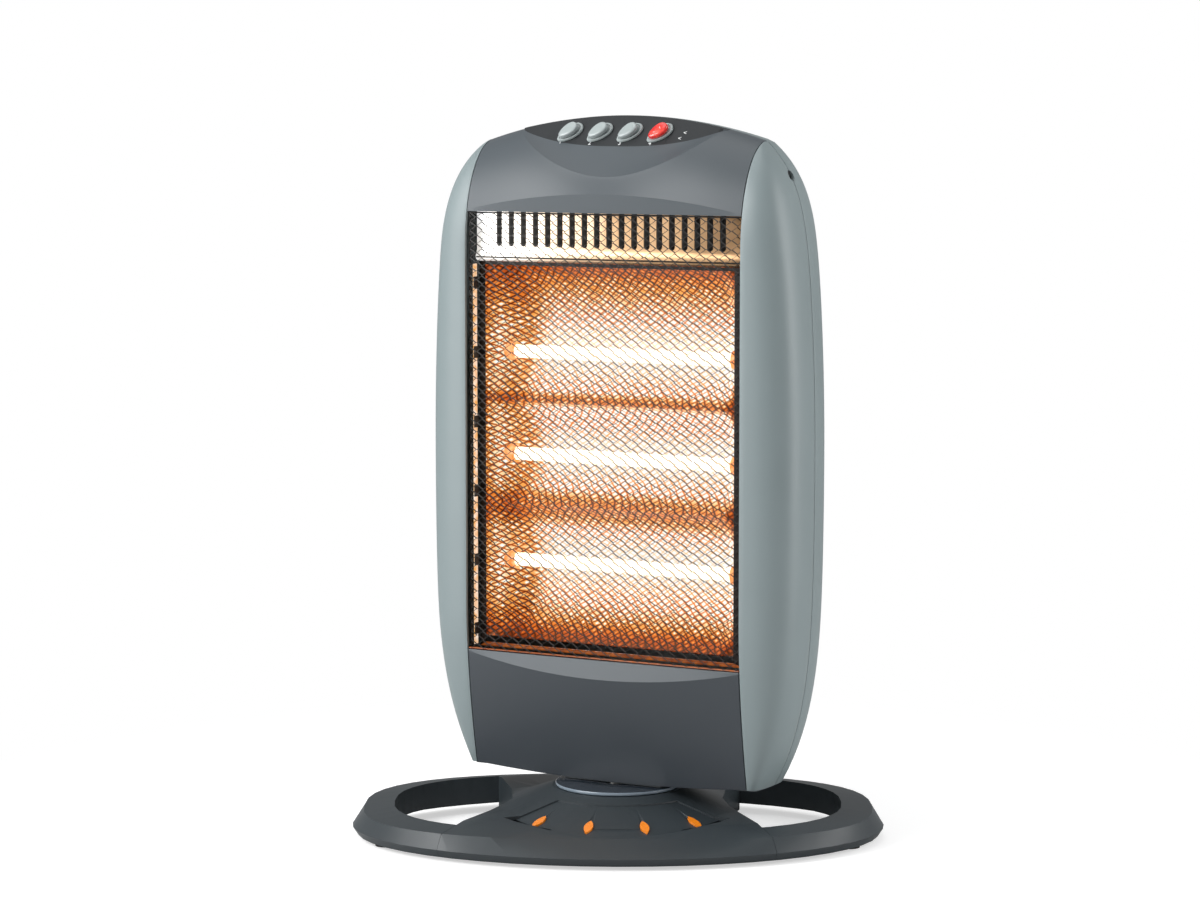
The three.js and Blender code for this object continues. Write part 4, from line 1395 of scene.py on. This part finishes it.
# ---- Guard, vent and lamps -----------------------------------------------------------
@dataclass
class Guard:
    """The net guard: expanded steel with its edges wrapped round the opening."""

    form: HeadForm = field(default_factory=HeadForm)
    cell_u: float = 10.0
    cell_z: float = 6.7
    falling_strand: float = 0.36
    rising_strand: float = 0.17
    thick: float = 0.42
    recess: float = 2.5
    wrap: float = 13

    def build(self) -> None:
        """Repeats one diamond over the opening and folds the net's sides back."""
        half = self.form.band_half - 0.6
        low = self.form.opening_low + 0.9
        high = self.form.opening_high - 0.9
        columns = round(2 * (half + self.wrap) / self.cell_u)
        rows = round((high - low) / self.cell_z)
        pitch_u = 2 * (half + self.wrap) / columns
        pitch_z = (high - low) / rows
        deselect()
        bpy.ops.mesh.primitive_circle_add(vertices=4, radius=1, fill_type="NOTHING")
        net = bpy.context.object
        net.name = "guard_net"
        with editing(net):
            bpy.ops.mesh.extrude_edges_move()
        narrow = 4 * math.hypot(pitch_u, pitch_z) / (pitch_u * pitch_z)
        falling = 1 - self.falling_strand * narrow
        rising = 1 - self.rising_strand * narrow
        for vertex in net.data.vertices:
            if vertex.select:
                x, y = vertex.co.x, vertex.co.y
                vertex.co.x = ((falling + rising) * x + (falling - rising) * y) / 2
                vertex.co.y = ((falling - rising) * x + (falling + rising) * y) / 2
        net.scale = (pitch_u / 2 * MM, pitch_z / 2 * MM, 1)
        bpy.ops.object.transform_apply(location=True, rotation=True, scale=True)
        repeat(net, columns, (pitch_u * MM, 0, 0))
        repeat(net, rows, (0, pitch_z * MM, 0))
        weld(net, outward=False)
        front = self.form.parting_v - self.form.dome_depth + self.recess
        start = -(half + self.wrap)
        for vertex in net.data.vertices:
            u = start + pitch_u / 2 + vertex.co.x / MM
            z = low + pitch_z / 2 + vertex.co.y / MM
            z = min(max(z, low), high)
            u = min(max(u, start), -start)
            over = max(abs(u) - half, 0)
            u = math.copysign(min(abs(u), half), u)
            vertex.co = head_point(u, front + over, z)
        weld(net, outward=False)
        modify(net, "SOLIDIFY", thickness=self.thick * MM, offset=0)
        join(net, self._roll("guard_upper_roll", half, front, high))
        settle(net, Finishes.WIRE, BEHIND, ["guard_mesh"])
        # painted glow: the net's lower rim is lit copper by the lamps
        lower = self._roll("guard_lower_roll", half, front, low)
        settle(lower, Finishes.LAMPLIT_SILL, BEHIND, ["guard_mesh"])

    def _roll(self, name: str, half: float, front: float, z: float) -> Piece:
        """The net's rolled rim along one edge of the opening.

        Args:
            name: the piece's name.
            half: half its length.
            front: the net's depth.
            z: its height.

        Returns:
            The rim.
        """
        deselect()
        bpy.ops.mesh.primitive_cylinder_add(vertices=12, radius=0.8 * MM, depth=2 * half * MM)
        roll = bpy.context.object
        roll.name = name
        with editing(roll):
            bpy.ops.transform.resize(value=(0.75, 1.4, 1))
        smooth(roll, 50)
        turn = TURNED @ Matrix.Rotation(math.pi / 2, 4, "Y")
        apply_place(roll, Matrix.Translation(head_point(0, front + 0.9, z)) @ turn)
        return roll


@dataclass
class HeatPack:
    """Vent sheet, reflector, dark band and the three lamps."""

    form: HeadForm = field(default_factory=HeadForm)
    ridges: tuple[float, float] = (326, 248)
    half: float = 108
    bottom: float = 146
    top: float = 430.7
    mouth_v: float = -11
    depth: float = 40
    vent_v: float = -14
    vent_low: float = 432
    vent_high: float = 478
    slots: int = 19
    slot_pitch: float = 10.45
    slot_width: float = 5.0
    slot_low: float = 442
    lamp_levels: Point = (362, 284, 203)
    lamp_v: float = 9
    lamp_half: float = 98
    lamp_radius: float = 5
    lamp_hole: float = 7.3
    band_side: float = 5.0
    band_right: float = 10.0
    band_top: float = 2.6
    band_foot: float = 3.0
    flange_u: float = 112.8
    clips: int = 6
    flange_start: float = 4.8
    flange_reach: float = 5.2

    def build(self) -> None:
        """Builds the sheet metal first and then the lamps."""
        self._reflector()
        self._flanges()
        self._vent()
        self._slot_shadow_sheet()
        self._band()
        for i, level in enumerate(self.lamp_levels):
            self._lamp(i + 1, level)

    def _trough_v(self, u: float, z: float) -> float:
        """Depth of the reflector at a place.

        Args:
            u: place across.
            z: height.

        Returns:
            Depth in millimetres.
        """
        marks = [self.bottom, self.ridges[1], self.ridges[0], self.top]
        k = 0
        while k < 2 and z > marks[k + 1]:
            k += 1
        s = min(max((z - marks[k]) / (marks[k + 1] - marks[k]), 0), 1)
        wide = min((self.half - abs(u)) / 24, 1)
        return self.mouth_v + self.depth * math.sin(math.pi * s) ** 0.75 * max(wide, 0)

    def _reflector(self) -> None:
        """Shapes the three troughs with their slanted end cheeks."""
        marks = [self.bottom, self.ridges[1], self.ridges[0], self.top]
        rows = 60
        columns = 38

        def place(s: float, t: float) -> Point:
            """Places one corner of the sheet, for shares from 0 to 1.

            Args:
                s: share across.
                t: share up.

            Returns:
                The point in the head's axes.
            """
            k = min(int(t * 3), 2)
            share = t * 3 - k
            z = marks[k] + (marks[k + 1] - marks[k]) * share
            u = (2 * s - 1) * (self.half + 3)
            return u, self._trough_v(u, z), z

        tray = grid_sheet("reflector_tray", columns, rows, place)
        weld(tray, outward=False)
        aim_faces(tray, VIEWER, towards=True)
        # the wall's inner side takes the second finish: plain steel behind the glow
        two_tone(tray, Finishes.REFLECTOR, Finishes.STEEL, lambda face: False)
        modify(tray, "SOLIDIFY", thickness=0.5 * MM, offset=-1, material_offset=1)
        for level in self.lamp_levels:
            for side in (1, -1):
                spot = head_point(side * self.lamp_half, self.lamp_v, level)
                cut(tray, bar(self.lamp_hole, 40, spot, "Y"))
        smooth(tray, 25)
        settle(tray, Finishes.REFLECTOR, BEHIND, ["reflector"])

    def _flanges(self) -> None:
        """The reflector's turned-out side edges, with the clips that hold them."""
        low = self.bottom - 6
        high = self.top - 2
        for side, name in ((1, "right"), (-1, "left")):

            def place(s: float, t: float) -> Point:
                """Places one corner of the sheet, for shares from 0 to 1.

                Args:
                    s: share across.
                    t: share up.

                Returns:
                    The point in the head's axes.
                """
                v = self.mouth_v - self.flange_start - self.flange_reach * s
                return side * self.flange_u, v, low + (high - low) * t

            strip = grid_sheet(f"reflector_edge_{name}", 2, 24, place)
            weld(strip)
            modify(strip, "SOLIDIFY", thickness=0.5 * MM, offset=0)
            settle(strip, Finishes.LIT_EDGE, BEHIND, ["reflector"])
            clips = self._clips(side * (self.flange_u - 0.9), low + 12, high - 14)
            clips.name = f"edge_clips_{name}"
            settle(clips, Finishes.BLACK, BEHIND, ["reflector_frame"])

    def _clips(self, u: float, low: float, high: float) -> Piece:
        """Small sheet-metal clips, one above another.

        Args:
            u: place across.
            low: the first clip's height.
            high: the last clip's height.

        Returns:
            The clips, as one mesh.
        """
        clips = block((0.7, 6.4, 9))
        modify(clips, "BEVEL", width=0.25 * MM, segments=2, limit_method="NONE")
        repeat(clips, self.clips, (0, 0, (high - low) / (self.clips - 1) * MM))
        middle = self.mouth_v - self.flange_start - self.flange_reach / 2
        apply_place(clips, Matrix.Translation(head_point(u, middle, low)) @ TURNED)
        return clips

    def _slot_shadow_sheet(self) -> None:
        """A black sheet behind the vent's slots, put there as painted shade so that the slots read
        dark.
        """
        half = self.form.band_half - 3

        def place(s: float, t: float) -> Point:
            """Places one corner of the sheet, for shares from 0 to 1.

            Args:
                s: share across.
                t: share up.

            Returns:
                The point in the head's axes.
            """
            v = self.vent_v + 5 + 1.5 * math.sin(math.pi * t)
            z = self.vent_low + 2 + (self.vent_high - 3 - self.vent_low) * t
            return (2 * s - 1) * half, v, z

        shade = grid_sheet("vent_slot_shadow_sheet", 2, 8, place)
        weld(shade, outward=False)
        modify(shade, "SOLIDIFY", thickness=0.6 * MM, offset=0)
        smooth(shade, 30)
        settle(shade, Finishes.BLACK, BEHIND, ["vent_plate"])

    def _vent(self) -> None:
        """Shapes the vent sheet: a slotted face over a bright bent ridge."""
        half = self.form.band_half - 1.6
        profile = [
            (self.vent_v + 7, self.vent_low - 1),
            (self.vent_v + 1, self.vent_low - 1),
            (self.vent_v - 1.6, self.vent_low + 0.4),
            (self.vent_v - 2.2, self.vent_low + 2.6),
            (self.vent_v - 1.2, self.vent_low + 4.6),
            (self.vent_v, self.vent_low + 7.5),
            (self.vent_v, self.vent_low + 20),
            (self.vent_v, self.vent_high),
        ]
        rows = len(profile) - 1

        def place(s: float, t: float) -> Point:
            """Places one corner of the sheet, for shares from 0 to 1.

            Args:
                s: share across.
                t: share up.

            Returns:
                The point in the head's axes.
            """
            v, z = profile[round(t * rows)]
            return (2 * s - 1) * half, v, z

        sheet = grid_sheet("vent_sheet_metal", 4, rows, place)
        weld(sheet, outward=False)
        aim_faces(sheet, VIEWER, towards=True)
        modify(sheet, "SOLIDIFY", thickness=0.9 * MM, offset=-1)
        cut(sheet, self._slot_set())
        smooth(sheet, 35)
        settle(sheet, Finishes.VENT, BEHIND, ["vent_plate"])

    def _slot_set(self) -> Piece:
        """All the vent's slots as one set of round-ended bars.

        Returns:
            The cutter.
        """
        deselect()
        height = self.vent_high - 6 - self.slot_low
        radius = self.slot_width / 2
        bpy.ops.mesh.primitive_cylinder_add(vertices=26, radius=radius * MM, depth=0.02)
        slot = bpy.context.object
        for vertex in slot.data.vertices:
            vertex.co.y += math.copysign(height / 2 * MM - radius * MM, vertex.co.y)
        repeat(slot, self.slots, (self.slot_pitch * MM, 0, 0))
        first = -self.slot_pitch * (self.slots - 1) / 2
        spot = head_point(first, self.vent_v, self.slot_low + height / 2)
        turn = TURNED @ Matrix.Rotation(math.pi / 2, 4, "X")
        apply_place(slot, Matrix.Translation(spot) @ turn)
        return slot

    def _band(self) -> None:
        """The dark frame in front of the reflector's mouth."""
        outer_u = self.form.band_half - 2.4
        low = self.form.opening_low + 1
        high = self.vent_low - 1.4
        deselect()
        bpy.ops.mesh.primitive_plane_add(size=1)
        band = bpy.context.object
        band.name = "dark_band"
        band.scale = (2 * outer_u * MM, (high - low) * MM, 1)
        bpy.ops.object.transform_apply(location=True, rotation=True, scale=True)
        with editing(band):
            bpy.ops.mesh.inset(thickness=self.band_side * MM)
            bpy.ops.mesh.delete(type="FACE")
        outside = (high - low) / 2 * MM
        for vertex in band.data.vertices:
            if abs(vertex.co.y) < outside - 0.0001:
                spare = self.band_side - (self.band_top if vertex.co.y > 0 else self.band_foot)
                vertex.co.y += math.copysign(spare * MM, vertex.co.y)
                if vertex.co.x > 0:
                    vertex.co.x += (self.band_side - self.band_right) * MM
        modify(band, "SOLIDIFY", thickness=1.0 * MM, offset=0)
        round_edges(band, 0.3, 40)
        turn = TURNED @ Matrix.Rotation(math.pi / 2, 4, "X")
        spot = head_point(0, self.mouth_v - 0.8, (low + high) / 2)
        apply_place(band, Matrix.Translation(spot) @ turn)
        rail_place = head_point(0, self.lamp_v, self.vent_low + 1.9)
        rail = bar(0.55, 2 * outer_u, rail_place, "Y")
        apply_place(rail, Matrix.Translation(head_point(0, self.vent_v - 2.3 - self.lamp_v, 0)))
        join(band, rail)
        # painted glow: the band's foot is lit copper by the lamps
        sill = (low + self.band_foot + 0.1) * MM
        two_tone(band, Finishes.BAND, Finishes.LAMPLIT_SILL, lambda face: face.center.z < sill)
        settle(band, Finishes.BAND, BEHIND, ["reflector_frame"])

    def _lamp(self, number: int, level: float) -> None:
        """Adds one lamp: a quartz tube with rounded ends, lit from inside.

        Args:
            number: the lamp's number, from 1 at the top.
            level: its height.
        """
        middle = head_point(0, self.lamp_v, level)
        tube = bar(self.lamp_radius, 2 * self.lamp_half, middle, "Y")
        tube.name = f"lamp_tube_{number}"
        round_edges(tube, 2.2, 40, 4)
        smooth(tube, 40)
        nodes = [f"quartz_tube_{number}", f"filament_{number}"]
        settle(tube, Finishes.QUARTZ, BEHIND, nodes)


# ---- Base ----------------------------------------------------------------------------
@dataclass
class Base:
    """The oval ring, the bridge with its hub, and what stands on them."""

    nodes: dict[str, Piece]
    edge: float = 0.6

    def build(self) -> None:
        """Rounds, smooths and dresses the two big mouldings and the turntable disc."""
        for name in ("base_ring", "base_bridge"):
            piece = twin(self.nodes[name], f"{name}_moulding")
            round_edges(piece, self.edge, 28)
            smooth(piece, 24)
            modify(piece, "WEIGHTED_NORMAL", keep_sharp=True, weight=100)
            settle(piece, Finishes.BASE, BELOW, [name])
        disc = twin(self.nodes["turntable_disc"], "turntable_disc_ring")
        round_edges(disc, 0.8, 40, 3)
        # the disc's upright edge takes a pale painted highlight
        two_tone(disc, Finishes.DISC, Finishes.DISC_RIM_HIGHLIGHT, lambda face: abs(face.normal.z) <= 0.9)
        smooth(disc, 40)
        settle(disc, Finishes.DISC, BELOW, ["turntable_disc"])


@dataclass
class CarriedNodes:
    """Frame nodes that show as they are, and what each is dressed in."""

    nodes: dict[str, Piece]
    finishes: tuple[tuple[str, Finish], ...] = (
        ("accent_insert", Finishes.INSERT),
        ("turntable_disc", Finishes.DISC),
        ("rubber_foot", Finishes.RUBBER),
        ("base_", Finishes.BASE),
        ("tip_", Finishes.BLACK),
        ("oscillation_motor", Finishes.STEEL),
        ("motor_crank", Finishes.CERAMIC),
        ("drive_arm", Finishes.CERAMIC),
        ("neck_clip", Finishes.STEEL),
        ("swivel_neck", Finishes.STEEL),
        ("head_bottom_plate", Finishes.FRONT),
        ("cord_gland", Finishes.BLACK),
        ("casing_screw", Finishes.BLACK),
        ("thermal_cutout", Finishes.BLACK),
        ("terminal_block", Finishes.CERAMIC),
        ("lamp_bracket", Finishes.STEEL),
        ("lamp_cap", Finishes.LIT_CERAMIC),
    )

    def build(self) -> None:
        """Dresses every node whose name starts as listed."""
        for name, node in self.nodes.items():
            for start, finish in self.finishes:
                if name.startswith(start):
                    dress(node, finish)
                    break


# ---- Studio --------------------------------------------------------------------------
@dataclass
class Studio:
    """White floor and sky, soft lamps and the camera."""

    lens: float = 104.5
    spot: Point = (30.2, -2581, 559.5)
    pitch: float = 5.92
    heading: float = 0.97
    floor_lift: float = 0.55
    aim: Point = (0, 0, 0.27)

    # name, place and size in metres, power in watts
    lamps = (
        ("left_box", (-1.0, -0.42, 0.65), (0.6, 1.2), 10.5),
        ("upper_left_box", (-1.5, -1.0, 1.3), (0.6, 0.7), 13),
        ("right_box", (1.9, -0.3, 0.7), (0.8, 1.7), 24),
        ("top_box", (-0.2, -0.1, 2.0), (1.4, 1.4), 9),
        ("front_box", (0.2, -2.7, 1.6), (1.4, 1.0), 2),
    )

    def build(self) -> None:
        """Sets up the camera, the floor, the world and the lamps."""
        scene = bpy.context.scene
        scene.view_settings.view_transform = "Standard"
        data = bpy.data.cameras.new("camera")
        data.lens = self.lens
        data.sensor_width = 36
        data.clip_end = 100
        camera = bpy.data.objects.new("camera", data)
        scene.collection.objects.link(camera)
        camera.location = Vector(self.spot) * MM
        camera.rotation_euler = (math.radians(90 - self.pitch), 0, math.radians(self.heading))
        scene.camera = camera
        self._floor()
        self._world()
        for name, spot, size, power in self.lamps:
            self._lamp(name, spot, size, power)

    def _floor(self) -> None:
        """Adds a floor that keeps the object's shadow and is white to the eye further out."""
        deselect()
        bpy.ops.mesh.primitive_plane_add(size=60)
        floor = bpy.context.object
        floor.name = "studio_floor"
        paint = bpy.data.materials.new("studio_white")
        paint.use_nodes = True
        tree = paint.node_tree
        rays = add_node(tree, "ShaderNodeLightPath")
        seen = rays.outputs["Is Camera Ray"]
        matt = {
            "Base Color": linear("d4d4d4"),
            "Roughness": 0.9,
            "Specular IOR Level": 0.1,
            "Emission Color": (1, 1, 1, 1),
            "Emission Strength": add_node(
                tree, MATH, {0: seen, 1: self.floor_lift}, operation="MULTIPLY"
            ),
        }
        shader = connect(tree, tree.nodes["Principled BSDF"], matt)
        place = add_node(tree, "ShaderNodeTexCoord").outputs["Object"]
        reach = add_node(tree, "ShaderNodeVectorMath", {0: place}, operation="LENGTH")
        fade = {"Value": reach.outputs["Value"], "From Min": 0.3, "From Max": 0.6}
        far = add_node(tree, RANGE, fade, interpolation_type="SMOOTHSTEP")
        share = add_node(tree, MATH, {0: far, 1: seen}, operation="MULTIPLY")
        white = add_node(tree, "ShaderNodeEmission", {"Color": (1, 1, 1, 1), "Strength": 1.0})
        both = add_node(tree, "ShaderNodeMixShader", {0: share, 1: shader, 2: white})
        connect(tree, tree.nodes["Material Output"], {"Surface": both})
        floor.data.materials.append(paint)

    def _world(self) -> None:
        """Adds a sky that is white to the eye and a plain grey to the object."""
        world = bpy.data.worlds.new("studio_sky")
        world.use_nodes = True
        bpy.context.scene.world = world
        tree = world.node_tree
        tree.nodes.clear()
        rays = add_node(tree, "ShaderNodeLightPath")
        both = {0: rays.outputs["Is Camera Ray"], 1: rays.outputs["Is Transmission Ray"]}
        seen = add_node(tree, MATH, both, operation="MAXIMUM")
        level = add_node(tree, RANGE, {"Value": seen, "To Min": 0.36, "To Max": 1.0})
        sky = {"Color": (1, 1, 1, 1), "Strength": level}
        back = add_node(tree, "ShaderNodeBackground", sky)
        add_node(tree, "ShaderNodeOutputWorld", {"Surface": back})

    def _lamp(
        self, name: str, spot: Point, size: tuple[float, float], power: float
    ) -> None:
        """Adds a soft lamp that faces the heater's middle.

        Args:
            name: its name.
            spot: where it stands, in metres.
            size: its width and height, in metres.
            power: its power, in watts.
        """
        data = bpy.data.lights.new(name, "AREA")
        data.shape = "RECTANGLE"
        data.size, data.size_y = size
        data.energy = power
        lamp = bpy.data.objects.new(name, data)
        bpy.context.scene.collection.objects.link(lamp)
        lamp.location = spot
        aim = Vector(self.aim) - Vector(spot)
        lamp.rotation_euler = aim.to_track_quat("-Z", "Y").to_euler()


def main() -> None:
    """Builds the scene from the floor up."""
    logging.basicConfig(level=logging.INFO, format="%(name)s: %(message)s")
    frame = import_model()
    Studio().build()
    CarriedNodes(frame["nodes"]).build()
    Base(frame["nodes"]).build()
    Shells().build()
    Switches().build()
    Guard().build()
    HeatPack().build()
    deselect()


if __name__ == "__main__":
    main()
